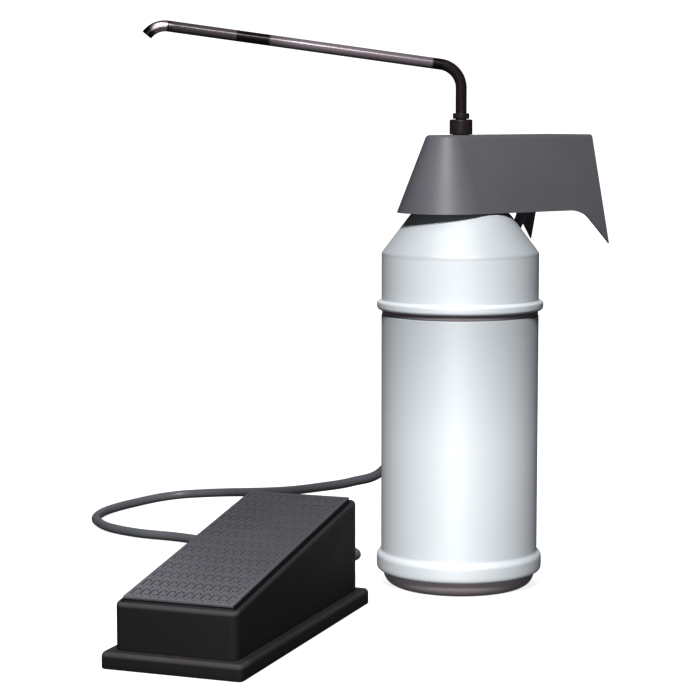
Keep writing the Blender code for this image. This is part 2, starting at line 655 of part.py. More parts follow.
def make_valve_head():
    profile = [
        (0.0, SPIGOT_TOP_HEIGHT),
        (SPIGOT_RADIUS, SPIGOT_TOP_HEIGHT),
        (SPIGOT_RADIUS, HEAD_TOP_HEIGHT),
        (HEAD_WAIST_RADIUS, HEAD_TOP_HEIGHT),
        (HEAD_WAIST_RADIUS, HEAD_WAIST_HEIGHT),
        (HEAD_RADIUS, HEAD_WAIST_HEIGHT),
        (HEAD_RADIUS, HEAD_UNDERSIDE + NECK_WALL),
        (SKIRT_RADIUS, HEAD_UNDERSIDE),
        (SKIRT_RADIUS, SKIRT_FOOT_HEIGHT),
        (SKIRT_BORE_RADIUS, SKIRT_FOOT_HEIGHT),
        (SKIRT_BORE_RADIUS, HEAD_UNDERSIDE),
        (0.0, HEAD_UNDERSIDE),
    ]
    head = turned("valve_head", profile, ROUND_MEDIUM)
    chamber_foot = BALL_SEAT_HEIGHT + BALL_CHAMBER_RADIUS - BALL_SEAT_RADIUS
    socket = SPOUT_RADIUS + SEAT_GAP
    groove = RING_CENTRE_RADIUS + RING_THICKNESS / 2 + SEAT_GAP
    groove_half = RING_THICKNESS / 2 + RING_GROOVE_SIDE_GAP
    passage = [
        (0.0, SPIGOT_TOP_HEIGHT + CUT_OVERRUN),
        (socket, SPIGOT_TOP_HEIGHT + CUT_OVERRUN),
        (socket, RING_HEIGHT + groove_half),
        (groove, RING_HEIGHT + groove_half),
        (groove, RING_HEIGHT - groove_half),
        (socket, RING_HEIGHT - groove_half),
        (socket, SPOUT_SOCKET_HEIGHT),
        (BALL_STOP_RADIUS, SPOUT_SOCKET_HEIGHT),
        (BALL_STOP_RADIUS, BALL_CHAMBER_TOP),
        (BALL_CHAMBER_RADIUS, BALL_CHAMBER_TOP),
        (BALL_CHAMBER_RADIUS, chamber_foot),
        (BALL_SEAT_RADIUS, BALL_SEAT_HEIGHT),
        (BALL_SEAT_RADIUS, DIP_TOP_HEIGHT),
        (DIP_RADIUS + SEAT_GAP, DIP_TOP_HEIGHT),
        (DIP_RADIUS + SEAT_GAP, HEAD_UNDERSIDE - CUT_OVERRUN),
        (0.0, HEAD_UNDERSIDE - CUT_OVERRUN),
    ]
    cut(head, turned("soap_passage", passage, ROUND_SMALL))
    drop = rod("air_drop", AIR_BORE_RADIUS, HEAD_UNDERSIDE - CUT_OVERRUN, AIR_PORT_HEIGHT, ROUND_SMALL)
    drop.location.y = AIR_PORT_OFFSET
    cut(head, drop)
    port_foot = HEAD_RADIUS - FITTING_THREAD_DEPTH - SEAT_GAP
    port = turned("air_port", [
        (0.0, HEAD_RADIUS + CUT_OVERRUN),
        (FITTING_THREAD_RADIUS + SEAT_GAP, HEAD_RADIUS + CUT_OVERRUN),
        (FITTING_THREAD_RADIUS + SEAT_GAP, port_foot),
        (AIR_BORE_RADIUS, port_foot),
        (AIR_BORE_RADIUS, AIR_PORT_OFFSET),
        (0.0, AIR_PORT_OFFSET),
    ], ROUND_SMALL)
    port.rotation_euler.x = -math.pi / 2
    port.location.z = AIR_PORT_HEIGHT
    cut(head, port)
    for side in (-1, 1):
        near = (SKIRT_BORE_RADIUS - TAB_PROUD) * side
        far = (SKIRT_BORE_RADIUS + SKIRT_RADIUS) / 2 * side
        low = (min(near, far), -TAB_WIDTH / 2, TAB_TOP_HEIGHT - TAB_THICKNESS)
        high = (max(near, far), TAB_WIDTH / 2, TAB_TOP_HEIGHT)
        add(head, box("tab_shape", low, high))
    return head


def make_outlet_ball():
    bm = bmesh.new()
    bmesh.ops.create_uvsphere(bm, u_segments=ROUND_SMALL, v_segments=BALL_ROWS, radius=BALL_RADIUS)
    ball = mesh_object("outlet_ball", bm)
    ball.location.z = BALL_REST_HEIGHT
    return ball


def make_air_check_valve():
    flange_top = HEAD_UNDERSIDE - SEAT_GAP
    flange_foot = flange_top - VALVE_FLANGE_THICKNESS
    valve = turned("air_check_valve", [
        (0.0, flange_top + VALVE_STEM_LENGTH),
        (VALVE_STEM_RADIUS, flange_top + VALVE_STEM_LENGTH),
        (VALVE_STEM_RADIUS, flange_top),
        (VALVE_FLANGE_RADIUS, flange_top),
        (VALVE_FLANGE_RADIUS, flange_foot),
        (VALVE_BILL_RADIUS, flange_foot - VALVE_BILL_LENGTH),
        (0.0, flange_foot - VALVE_BILL_LENGTH),
    ], ROUND_SMALL)
    valve.location.y = AIR_PORT_OFFSET
    return valve


def along_fitting_arm(obj):
    """Sets a piece made along +Z on the elbow's arm, which leaves the head rearwards and down."""
    obj.rotation_euler = (-math.radians(90 + FITTING_TILT_DEG), 0.0, math.radians(FITTING_YAW_DEG))
    obj.location = ELBOW_CENTRE
    return obj


def fitting_arm_point(distance):
    tilt = math.radians(FITTING_TILT_DEG)
    yaw = math.radians(FITTING_YAW_DEG)
    level = distance * math.cos(tilt)
    x, y, z = ELBOW_CENTRE
    return (x - level * math.sin(yaw), y + level * math.cos(yaw), z - distance * math.sin(tilt))


def make_head_air_fitting():
    thread_foot = HEAD_RADIUS - FITTING_THREAD_DEPTH
    fitting = turned("head_air_fitting", [
        (0.0, ELBOW_CENTRE[1]),
        (FITTING_NECK_RADIUS, ELBOW_CENTRE[1]),
        (FITTING_NECK_RADIUS, HEAD_RADIUS + SEAT_GAP),
        (FITTING_THREAD_RADIUS, HEAD_RADIUS + SEAT_GAP),
        (FITTING_THREAD_RADIUS, thread_foot),
        (0.0, thread_foot),
    ], ROUND_SMALL)
    fitting.rotation_euler.x = -math.pi / 2
    fitting.location.z = AIR_PORT_HEIGHT
    bm = bmesh.new()
    bmesh.ops.create_uvsphere(bm, u_segments=ROUND_SMALL, v_segments=BALL_ROWS, radius=FITTING_BALL_RADIUS)
    ball = mesh_object("ball_shape", bm)
    ball.location = ELBOW_CENTRE
    add(fitting, ball)
    add(fitting, along_fitting_arm(turned("arm_shape", [
        (0.0, FITTING_ARM_LENGTH + BARB_LENGTH),
        (BARB_RADIUS, FITTING_ARM_LENGTH + BARB_LENGTH),
        (BARB_RADIUS, FITTING_ARM_LENGTH),
        (FITTING_NECK_RADIUS, FITTING_ARM_LENGTH),
        (FITTING_NECK_RADIUS, 0.0),
        (0.0, 0.0),
    ], ROUND_SMALL)))
    bore = [
        (0.0, thread_foot - CUT_OVERRUN, AIR_PORT_HEIGHT),
        ELBOW_CENTRE,
        fitting_arm_point(FITTING_ARM_LENGTH + BARB_LENGTH + CUT_OVERRUN),
    ]
    return cut(fitting, tube("fitting_bore", bore, BARB_BORE_RADIUS))


def make_hose_ferrule():
    high = FERRULE_START + FERRULE_LENGTH
    bore = BARB_RADIUS + SEAT_GAP
    ferrule = ring("head_hose_ferrule", FERRULE_RADIUS, bore, FERRULE_START, high, ROUND_SMALL)
    return along_fitting_arm(ferrule)


def make_lock_nut():
    bore = SPIGOT_RADIUS + SEAT_GAP
    lip = SPIGOT_TOP_HEIGHT + SEAT_GAP
    neck = SPOUT_RADIUS + SEAT_GAP
    return turned("lock_nut", [
        (LOCK_NUT_RADIUS, NUT_TOP_HEIGHT),
        (LOCK_NUT_RADIUS, NUT_FOOT_HEIGHT),
        (bore, NUT_FOOT_HEIGHT),
        (bore, lip),
        (neck, lip),
        (neck, NUT_TOP_HEIGHT),
    ], ROUND_MEDIUM, True)


def make_spout_collar():
    return ring(
        "spout_collar",
        COLLAR_RADIUS,
        SPOUT_RADIUS + SEAT_GAP,
        COLLAR_FOOT_HEIGHT,
        COLLAR_FOOT_HEIGHT + COLLAR_HEIGHT,
        ROUND_MEDIUM,
    )


def make_spout_ring():
    profile = []
    for share in np.linspace(0, 1, RING_FACETS, endpoint=False):
        angle = -share * math.tau
        profile.append((
            RING_CENTRE_RADIUS + RING_THICKNESS / 2 * math.cos(angle),
            RING_HEIGHT + RING_THICKNESS / 2 * math.sin(angle),
        ))
    return turned("spout_o_ring", profile, ROUND_MEDIUM, True)


def arc(centre, radius, first_deg, last_deg, count):
    angles = np.radians(np.linspace(first_deg, last_deg, count))
    return [(centre[0] + radius * math.cos(a), centre[1] + radius * math.sin(a)) for a in angles]


def spout_path(foot, extra):
    """The tube's centreline as (reach, height) points, lengthened by extra at both ends."""
    rise = math.radians(SPOUT_RISE_DEG)
    drop = math.radians(SPOUT_DROP_DEG)
    tangent = ELBOW_RADIUS * math.tan((math.pi / 2 - rise) / 2)
    elbow_centre = (ELBOW_RADIUS, SPOUT_CORNER_HEIGHT - tangent)
    elbow = arc(elbow_centre, ELBOW_RADIUS, 180, 90 + SPOUT_RISE_DEG, ELBOW_POINTS)
    seam_reach = SPOUT_REACH - TIP_RADIUS * (math.sin(rise) + math.sin(drop))
    seam_height = SPOUT_CORNER_HEIGHT + seam_reach * math.tan(rise)
    tip_centre = (
        seam_reach + TIP_RADIUS * math.sin(rise),
        seam_height - TIP_RADIUS * math.cos(rise),
    )
    tip = arc(tip_centre, TIP_RADIUS, 90 + SPOUT_RISE_DEG, 90 - SPOUT_DROP_DEG, TIP_POINTS)
    path = [(0.0, foot - extra), *elbow, *tip]
    if extra:
        last = tip[-1]
        path.append((last[0] + extra * math.cos(drop), last[1] - extra * math.sin(drop)))
    return [(0.0, -reach, height) for reach, height in path]


def make_spout_tube():
    foot = SPOUT_SOCKET_HEIGHT + SEAT_GAP
    spout = tube("spout_tube", spout_path(foot, 0.0), SPOUT_RADIUS, 3)
    bore = tube("spout_bore", spout_path(foot, CUT_OVERRUN), SPOUT_BORE_RADIUS, 2)
    spout.rotation_euler.z = math.radians(SPOUT_SWING_DEG)
    bore.rotation_euler.z = math.radians(SPOUT_SWING_DEG)
    return cut(spout, bore)


def make_dip_tube():
    top = DIP_TOP_HEIGHT - SEAT_GAP
    return ring("dip_tube", DIP_RADIUS, DIP_BORE_RADIUS, DIP_FOOT_HEIGHT, top, ROUND_SMALL)


def make_intake_strainer():
    foot = BODY_FOOT_HEIGHT + BODY_WALL + STRAINER_FOOT_GAP
    inner = DIP_RADIUS + SEAT_GAP
    strainer = turned("intake_strainer", [
        (0.0, foot + STRAINER_FLOOR),
        (inner, foot + STRAINER_FLOOR),
        (inner, foot + STRAINER_HEIGHT),
        (STRAINER_RADIUS, foot + STRAINER_HEIGHT),
        (STRAINER_RADIUS, foot),
        (0.0, foot),
    ], ROUND_SMALL)
    low = foot + STRAINER_FLOOR
    reach = STRAINER_RADIUS + CUT_OVERRUN
    half = STRAINER_SLOT_WIDTH / 2
    cut(strainer, box("slot_shape", (-reach, -half, low), (reach, half, low + STRAINER_SLOT_HEIGHT)))
    cut(strainer, box("slot_shape", (-half, -reach, low), (half, reach, low + STRAINER_SLOT_HEIGHT)))
    return strainer


def cover_outline(drop, height):
    """The cover's plan at one height: a round nose and two straight walls back to the wall."""
    radius = COVER_NOSE_RADIUS + COVER_NOSE_FLARE_SHARE * drop
    half_width = COVER_REAR_HALF_WIDTH + COVER_WALL_FLARE_SHARE * drop
    length = WALL_DISTANCE + COVER_NOSE_FORWARD
    lean = math.atan2(half_width, length) - math.asin(radius / math.hypot(half_width, length))
    start = math.pi + lean
    points = [(-half_width, WALL_DISTANCE, height)]
    for share in np.linspace(0, 1, NOSE_POINTS):
        angle = start + share * (math.pi - 2 * lean)
        points.append((radius * math.cos(angle), radius * math.sin(angle) - COVER_NOSE_FORWARD, height))
    points.append((half_width, WALL_DISTANCE, height))
    return points


def make_shroud():
    bm = bmesh.new()
    depth = COVER_TOP_HEIGHT - COVER_TIP_HEIGHT
    rows = []
    for drop in (0.0, depth):
        rows.append([bm.verts.new(p) for p in cover_outline(drop, COVER_TOP_HEIGHT - drop)])
    top, foot = rows
    for index in range(len(top) - 1):
        bm.faces.new((top[index], foot[index], foot[index + 1], top[index + 1]))
    top_face = bm.faces.new(top)
    bmesh.ops.recalc_face_normals(bm, faces=bm.faces)
    if top_face.normal.z < 0:
        bmesh.ops.reverse_faces(bm, faces=bm.faces)
    shroud = round_edges(mesh_object("shroud", bm), COVER_EDGE_RADIUS)
    shell = shroud.modifiers.new("sheet", "SOLIDIFY")
    shell.thickness = COVER_SHEET
    shell.offset = -1.0
    shell.use_even_offset = True
    cut(shroud, cover_notch())
    reach = COVER_TOP_HEIGHT + CUT_OVERRUN
    hole = rod("cover_hole", SPIGOT_RADIUS + SEAT_GAP, HEAD_TOP_HEIGHT, reach, ROUND_MEDIUM)
    return cut(shroud, hole)


def cover_notch():
    """What is cut away below the rim, seen from the side: a straight rim, an arc and a slanted edge."""
    radius = (COVER_NOTCH_LENGTH**2 + COVER_NOTCH_DROP**2) / (2 * COVER_NOTCH_DROP)
    sweep = math.degrees(math.asin(COVER_NOTCH_LENGTH / radius))
    centre = (COVER_NOTCH_START, COVER_RIM_HEIGHT - radius)
    slope = (COVER_TIP_DROP - COVER_NOTCH_DROP) / COVER_TIP_LENGTH
    low = COVER_TIP_HEIGHT - CUT_OVERRUN
    past_tip = WALL_DISTANCE + CUT_OVERRUN / slope
    front = -WALL_DISTANCE
    bend = arc(centre, radius, 90, 90 - sweep, NOTCH_POINTS)
    side = [(front, COVER_RIM_HEIGHT), *bend, (past_tip, low), (front, low)]
    reach = WALL_DISTANCE
    notch = slab("notch_shape", side, -reach, reach)
    notch.rotation_euler = (math.pi / 2, 0.0, math.pi / 2)
    return notch


def make_wall_bracket():
    arm_front = HEAD_WAIST_RADIUS
    back = WALL_DISTANCE
    outline = [(-BRACKET_ARM_HALF_WIDTH, back), (-BRACKET_ARM_HALF_WIDTH, 0.0)]
    outline += arc((0.0, 0.0), arm_front, 180, 360, ARM_END_POINTS)[1:-1]
    outline += [(BRACKET_ARM_HALF_WIDTH, 0.0), (BRACKET_ARM_HALF_WIDTH, back)]
    bracket = slab("wall_bracket", outline, BRACKET_ARM_UNDERSIDE, BRACKET_TOP_HEIGHT)
    plate_low = (-BRACKET_PLATE_HALF_WIDTH, back - BRACKET_SHEET, BRACKET_PLATE_FOOT_HEIGHT)
    add(bracket, box("plate_shape", plate_low, (BRACKET_PLATE_HALF_WIDTH, back, BRACKET_TOP_HEIGHT)))
    inner = back - BRACKET_SHEET / 2
    arm_middle = (BRACKET_ARM_UNDERSIDE + BRACKET_TOP_HEIGHT) / 2
    rib = slab("rib_shape", [
        (inner, arm_middle),
        (inner - BRACKET_RIB_LENGTH, arm_middle),
        (inner, arm_middle - BRACKET_RIB_DEPTH),
    ], -BRACKET_RIB_THICKNESS / 2, BRACKET_RIB_THICKNESS / 2)
    rib.rotation_euler = (math.pi / 2, 0.0, math.pi / 2)
    add(bracket, rib)
    hole = rod(
        "arm_hole",
        SPIGOT_RADIUS + SEAT_GAP,
        BRACKET_ARM_UNDERSIDE - CUT_OVERRUN,
        BRACKET_TOP_HEIGHT + CUT_OVERRUN,
        ROUND_SMALL,
    )
    cut(bracket, hole)
    for side in (-1, 1):
        for height in WALL_HOLE_HEIGHTS:
            deep = BRACKET_SHEET + CUT_OVERRUN
            hole = rod("wall_hole", WALL_HOLE_RADIUS, -deep, CUT_OVERRUN, ROUND_SMALL)
            hole.rotation_euler.x = -math.pi / 2
            hole.location = (side * (BRACKET_PLATE_HALF_WIDTH - WALL_HOLE_INSET), back, height)
            cut(bracket, hole)
    return bracket


def pedal_point(x, y, z):
    turn = Matrix.Rotation(math.radians(PEDAL_TURN_DEG), 4, "Z")
    return Matrix.Translation((*PEDAL_PLACE, 0.0)) @ turn @ Vector((x, y, z))


def gland_end():
    return HOUSING_REAR + 2 * SEAT_GAP + GLAND_FLANGE_THICKNESS + GLAND_NOSE_LENGTH


def make_air_hose():
    start = FERRULE_START + FERRULE_LENGTH + SEAT_GAP
    end = gland_end()
    route = [
        fitting_arm_point(start),
        fitting_arm_point(start + HOSE_LEAD),
        *[(x, y, share * AIR_PORT_HEIGHT) for x, y, share in HOSE_FALL],
        *HOSE_ROUTE,
        tuple(pedal_point(GLAND_OFFSET, end + HOSE_LEAD, GLAND_HEIGHT)),
        tuple(pedal_point(GLAND_OFFSET, end, GLAND_HEIGHT)),
    ]
    return tube("air_hose", smooth_path(route, HOSE_POINTS), HOSE_RADIUS, 2)


def corner_places(x, y):
    return [(side * x, end * y) for end in (-1, 1) for side in (-1, 1)]


def boss_place():
    inset = HOUSING_WALL + BOSS_SIDE / 2 - BOSS_OVERLAP
    return HOUSING_WIDTH / 2 - inset, HOUSING_LENGTH / 2 - inset


def pad_place():
    return FLANGE_WIDTH / 2 - PAD_SIDE_INSET, FLANGE_LENGTH / 2 - PAD_END_INSET


def make_pedal_base(pedal):
    x, y = FLANGE_WIDTH / 2, FLANGE_LENGTH / 2
    base = slab("pedal_base", rounded_rectangle(-x, -y, x, y, BASE_CORNER_RADIUS), PAD_PROUD, BASE_TOP)
    round_edges(base, BASE_EDGE_RADIUS)
    pocket_top = PAD_THICKNESS + SEAT_GAP
    for x, y in corner_places(*pad_place()):
        pocket = rod("pad_pocket", PAD_RADIUS + SEAT_GAP, -CUT_OVERRUN, pocket_top, ROUND_SMALL)
        pocket.location = (x, y, 0.0)
        cut(base, pocket, pedal)
    recess = PAD_PROUD + SCREW_RECESS
    for x, y in corner_places(*boss_place()):
        hole = turned("screw_recess", [
            (0.0, BASE_TOP + CUT_OVERRUN),
            (SCREW_RADIUS + SEAT_GAP, BASE_TOP + CUT_OVERRUN),
            (SCREW_RADIUS + SEAT_GAP, recess),
            (SCREW_HEAD_RADIUS + SEAT_GAP, recess),
            (SCREW_HEAD_RADIUS + SEAT_GAP, -CUT_OVERRUN),
            (0.0, -CUT_OVERRUN),
        ], ROUND_SMALL)
        hole.location = (x, y, 0.0)
        cut(base, hole, pedal)
    post_top = BASE_TOP + SPRING_POST_HEIGHT
    post = rod("spring_post", SPRING_POST_RADIUS, BASE_TOP - CUT_OVERRUN, post_top, ROUND_SMALL)
    post.location.y = SPRING_PLACE
    return add(base, post, pedal)


def make_foot_pads():
    pads = []
    for number, (x, y) in enumerate(corner_places(*pad_place()), 1):
        pad = rod(f"foot_pad_{number}", PAD_RADIUS, 0.0, PAD_THICKNESS, ROUND_SMALL)
        pad.location = (x, y, 0.0)
        pads.append(pad)
    return pads


def make_base_screws():
    head_top = PAD_PROUD + SCREW_RECESS - SEAT_GAP
    screws = []
    for number, (x, y) in enumerate(corner_places(*boss_place()), 1):
        screw = turned(f"base_screw_{number}", [
            (0.0, head_top + SCREW_LENGTH),
            (SCREW_RADIUS, head_top + SCREW_LENGTH),
            (SCREW_RADIUS, head_top),
            (SCREW_HEAD_RADIUS, head_top),
            (SCREW_HEAD_RADIUS, head_top - SCREW_HEAD_THICKNESS),
            (0.0, head_top - SCREW_HEAD_THICKNESS),
        ], ROUND_TINY)
        screw.location = (x, y, 0.0)
        screws.append(screw)
    return screws


def make_pedal_housing(pedal):
    x, y = HOUSING_WIDTH / 2, HOUSING_LENGTH / 2
    top = tread_height(y)
    outer = rounded_rectangle(-x, -y, x, y, HOUSING_CORNER_RADIUS)
    housing = sloped_top(slab("pedal_housing", outer, HOUSING_FOOT, top), top, TREAD_STAND)
    round_edges(housing, HOUSING_EDGE_RADIUS)
    inner_x, inner_y = x - HOUSING_WALL, y - HOUSING_WALL
    corner = HOUSING_CORNER_RADIUS - HOUSING_WALL
    hollow = rounded_rectangle(-inner_x, -inner_y, inner_x, inner_y, corner)
    cut(housing, slab("housing_hollow", hollow, -CUT_OVERRUN, top + CUT_OVERRUN), pedal)
    boss_top = HOUSING_FOOT + BOSS_HEIGHT
    half = BOSS_SIDE / 2
    for x, y in corner_places(*boss_place()):
        boss = box("boss_shape", (x - half, y - half, HOUSING_FOOT), (x + half, y + half, boss_top))
        add(housing, boss, pedal)
        low, high = HOUSING_FOOT - CUT_OVERRUN, boss_top + CUT_OVERRUN
        hole = rod("boss_hole", SCREW_RADIUS + SEAT_GAP, low, high, ROUND_TINY)
        hole.location = (x, y, 0.0)
        cut(housing, hole, pedal)
    low, high = inner_y - CUT_OVERRUN, HOUSING_REAR + CUT_OVERRUN
    hole = rod("gland_hole", GLAND_STEM_RADIUS + SEAT_GAP, low, high, ROUND_SMALL)
    hole.rotation_euler.x = -math.pi / 2
    hole.location = (GLAND_OFFSET, 0.0, GLAND_HEIGHT)
    cut(housing, hole, pedal)
    reach = inner_x + PIN_END_DEPTH + SEAT_GAP
    return cut(housing, cross_rod("pin_seat", PIN_RADIUS + SEAT_GAP, reach), pedal)


def cross_rod(name, radius, reach):
    made = rod(name, radius, -reach, reach, ROUND_SMALL)
    made.rotation_euler.y = math.pi / 2
    made.location = (0.0, PIN_PLACE, PIN_HEIGHT)
    return made


def make_hinge_pin():
    return cross_rod("hinge_pin", PIN_RADIUS, HOUSING_WIDTH / 2 - HOUSING_WALL + PIN_END_DEPTH)


def sloped_slab(name, x, y_low, y_high, top_drop, foot_drop, corner):
    """A plate that lies along the tread's slope, between two depths below the tread."""
    outline = rounded_rectangle(-x, y_low, x, y_high, corner, PLATE_CORNER_STEPS)
    run = math.cos(TREAD_SLOPE)
    plate = slab(name, [(px, (py - TREAD_FRONT) / run) for px, py in outline], -foot_drop, -top_drop)
    plate.rotation_euler.x = TREAD_SLOPE
    plate.location = (0.0, TREAD_FRONT, TREAD_FRONT_HEIGHT)
    return plate


def make_tread_mat():
    half = TREAD_WIDTH / 2
    mat = sloped_slab("tread_mat", half, TREAD_FRONT, TREAD_REAR, 0.0, MAT_THICKNESS, PLATE_CORNER_RADIUS)
    return round_edges(mat, PLATE_EDGE_RADIUS)


def make_treadle(pedal):
    half = TREAD_WIDTH / 2
    top = MAT_THICKNESS + SEAT_GAP
    foot = top + TREADLE_THICKNESS
    rear = TREAD_REAR - TREADLE_REAR_INSET
    treadle = sloped_slab("treadle", half, TREAD_FRONT, rear, top, foot, PLATE_CORNER_RADIUS)
    add(treadle, cross_rod("barrel_shape", BARREL_RADIUS, half - BARREL_INSET), pedal)
    pad_drop = (top + TREADLE_THICKNESS / 2) / math.cos(TREAD_SLOPE)
    for place_y, radius, low in (
        (BELLOWS_PLACE, BELLOWS_PAD_RADIUS, BELLOWS_TOP_HEIGHT),
        (SPRING_PLACE, SPRING_PAD_RADIUS, SPRING_TOP_HEIGHT),
    ):
        outline = arc((0.0, place_y), radius, 0, 360, ROUND_MEDIUM + 1)[:-1]
        high = tread_height(place_y)
        pad = slab("pad_shape", outline, low + SEAT_GAP, high)
        add(treadle, sloped_top(pad, high, pad_drop), pedal)
    return cut(treadle, cross_rod("barrel_bore", PIN_RADIUS + SEAT_GAP, half + CUT_OVERRUN), pedal)


def make_bellows_seat(pedal):
    plug_top = SEAT_TOP + SEAT_PLUG_HEIGHT
    seat = turned("bellows_seat", [
        (0.0, plug_top),
        (SEAT_PLUG_RADIUS, plug_top),
        (SEAT_PLUG_RADIUS, SEAT_TOP),
        (SEAT_RADIUS, SEAT_TOP),
        (SEAT_RADIUS, HOUSING_FOOT),
        (0.0, HOUSING_FOOT),
    ], ROUND_MEDIUM)
    seat.location.y = BELLOWS_PLACE
    turn = math.radians(SEAT_NOZZLE_TURN_DEG)
    nozzle = rod("nozzle_shape", SEAT_NOZZLE_RADIUS, 0.0, SEAT_RADIUS + SEAT_NOZZLE_LENGTH, ROUND_SMALL)
    nozzle.rotation_euler = (-math.pi / 2, 0.0, -turn)
    nozzle.location = (0.0, BELLOWS_PLACE, (HOUSING_FOOT + SEAT_TOP) / 2)
    add(seat, nozzle, pedal)
    reach = SEAT_RADIUS + SEAT_NOZZLE_LENGTH + CUT_OVERRUN
    across = rod("seat_port_across", SEAT_PORT_RADIUS, SEAT_PORT_PLACE, reach, ROUND_TINY)
    across.rotation_euler = nozzle.rotation_euler
    across.location = nozzle.location
    cut(seat, across, pedal)
    over = plug_top + CUT_OVERRUN
    rise = rod("seat_port_rise", SEAT_PORT_RADIUS, nozzle.location.z, over, ROUND_TINY)
    place_x = SEAT_PORT_PLACE * math.sin(turn)
    rise.location = (place_x, BELLOWS_PLACE + SEAT_PORT_PLACE * math.cos(turn), 0.0)
    cut(seat, rise, pedal)
    stem = rod("stem_hole", UMBRELLA_STEM_RADIUS + SEAT_GAP, HOUSING_FOOT - CUT_OVERRUN, over, ROUND_TINY)
    stem.location.y = BELLOWS_PLACE
    return cut(seat, stem, pedal)


def make_intake_valve():
    low = SEAT_TOP + SEAT_PLUG_HEIGHT + SEAT_GAP
    valve = turned("intake_valve", [
        (0.0, low + UMBRELLA_THICKNESS),
        (UMBRELLA_RADIUS, low),
        (UMBRELLA_STEM_RADIUS, low),
        (UMBRELLA_STEM_RADIUS, low - UMBRELLA_STEM_LENGTH),
        (0.0, low - UMBRELLA_STEM_LENGTH),
    ], ROUND_SMALL)
    valve.location.y = BELLOWS_PLACE
    return valve


def make_pump_bellows():
    low, high = SEAT_TOP + SEAT_GAP, BELLOWS_TOP_HEIGHT
    crests = BELLOWS_FOLDS * 2 + 1
    outer = []
    for step in range(crests):
        radius = BELLOWS_RADIUS - (step % 2 == 0) * BELLOWS_FOLD_DEPTH
        outer.append((radius, high + (low - high) * step / (crests - 1)))
    inner = [(radius - BELLOWS_WALL, height) for radius, height in outer]
    inner[0] = (inner[0][0], high - BELLOWS_WALL)
    profile = [(0.0, high), *outer, *reversed(inner), (0.0, high - BELLOWS_WALL)]
    bellows = turned("pump_bellows", profile, ROUND_MEDIUM)
    bellows.location.y = BELLOWS_PLACE
    return bellows


def make_treadle_spring():
    low = BASE_TOP + SPRING_WIRE_RADIUS + SEAT_GAP
    high = SPRING_TOP_HEIGHT - SPRING_WIRE_RADIUS
    count = SPRING_TURNS * SPRING_POINTS_PER_TURN + 1
    points = []
    for step in range(count):
        share = step / (count - 1)
        angle = share * SPRING_TURNS * math.tau
        height = low + (high - low) * share
        points.append((SPRING_RADIUS * math.cos(angle), SPRING_RADIUS * math.sin(angle), height))
    spring = tube("treadle_spring", points, SPRING_WIRE_RADIUS, 1)
    spring.location.y = SPRING_PLACE
    return spring


def make_hose_gland():
    wall_inner = HOUSING_REAR - HOUSING_WALL
    flange = HOUSING_REAR + SEAT_GAP
    nose = flange + GLAND_FLANGE_THICKNESS
    gland = turned("hose_gland", [
        (AIR_BORE_RADIUS, nose + GLAND_NOSE_LENGTH),
        (GLAND_NOSE_RADIUS, nose + GLAND_NOSE_LENGTH),
        (GLAND_NOSE_RADIUS, nose),
        (GLAND_FLANGE_RADIUS, nose),
        (GLAND_FLANGE_RADIUS, flange),
        (GLAND_STEM_RADIUS, flange),
        (GLAND_STEM_RADIUS, wall_inner - GLAND_INNER_LENGTH),
        (AIR_BORE_RADIUS, wall_inner - GLAND_INNER_LENGTH),
    ], ROUND_SMALL, True)
    gland.rotation_euler.x = -math.pi / 2
    gland.location = (GLAND_OFFSET, 0.0, GLAND_HEIGHT)
    return gland


def make_gland_nut(pedal):
    high = HOUSING_REAR - HOUSING_WALL - SEAT_GAP
    low = high - GLAND_NUT_THICKNESS
    nut = slab("gland_nut", arc((0.0, 0.0), GLAND_NUT_RADIUS, 0, 360, HEX_SIDES + 1)[:-1], low, high)
    bore = rod("nut_bore", GLAND_STEM_RADIUS + SEAT_GAP, low - CUT_OVERRUN, high + CUT_OVERRUN, ROUND_SMALL)
    for piece in (nut, bore):
        piece.rotation_euler.x = -math.pi / 2
        piece.location = (GLAND_OFFSET, 0.0, GLAND_HEIGHT)
    return cut(nut, bore, pedal)


def make_pedal_air_tube():
    turn = math.radians(SEAT_NOZZLE_TURN_DEG)
    away = Vector((math.sin(turn), math.cos(turn), 0.0))
    start = Vector((0.0, BELLOWS_PLACE, (HOUSING_FOOT + SEAT_TOP) / 2))
    start += away * (SEAT_RADIUS + SEAT_NOZZLE_LENGTH + SEAT_GAP)
    end = Vector((GLAND_OFFSET, HOUSING_REAR - HOUSING_WALL - GLAND_INNER_LENGTH - SEAT_GAP, GLAND_HEIGHT))
    lead = Vector((0.0, PEDAL_TUBE_LEAD, 0.0))
    route = [start, start + away * PEDAL_TUBE_LEAD, end - lead, end]
    return tube("pedal_air_tube", smooth_path(route, PEDAL_TUBE_POINTS), PEDAL_TUBE_RADIUS, 2)


clear_scene()
parts = new_collection("foot_operated_soap_dispenser", False)
cutters = new_collection("cutters", True)

container_white = make_material("container_white", (0.86, 0.89, 0.90), 0.38)
rubber_dark = make_material("rubber_dark", (0.10, 0.085, 0.09), 0.55)
sheet_grey = make_material("sheet_grey", (0.10, 0.10, 0.115), 0.42, 0.7)
bracket_steel = make_material("bracket_steel", (0.30, 0.30, 0.31), 0.45, 1.0)
collar_black = make_material("collar_black", (0.017, 0.013, 0.014), 0.35)
spout_chrome = make_material("spout_chrome", (0.22, 0.19, 0.21), 0.16, 1.0)
head_plastic = make_material("head_plastic", (0.03, 0.03, 0.032), 0.5)
gasket_rubber = make_material("gasket_rubber", (0.06, 0.06, 0.06), 0.7)
steel = make_material("steel", (0.55, 0.55, 0.56), 0.3, 1.0)
brass = make_material("brass", (0.6, 0.44, 0.18), 0.3, 1.0)
clear_plastic = make_material("clear_plastic", (0.75, 0.78, 0.78), 0.3)
hose_grey = make_material("hose_grey", (0.07, 0.072, 0.08), 0.5)
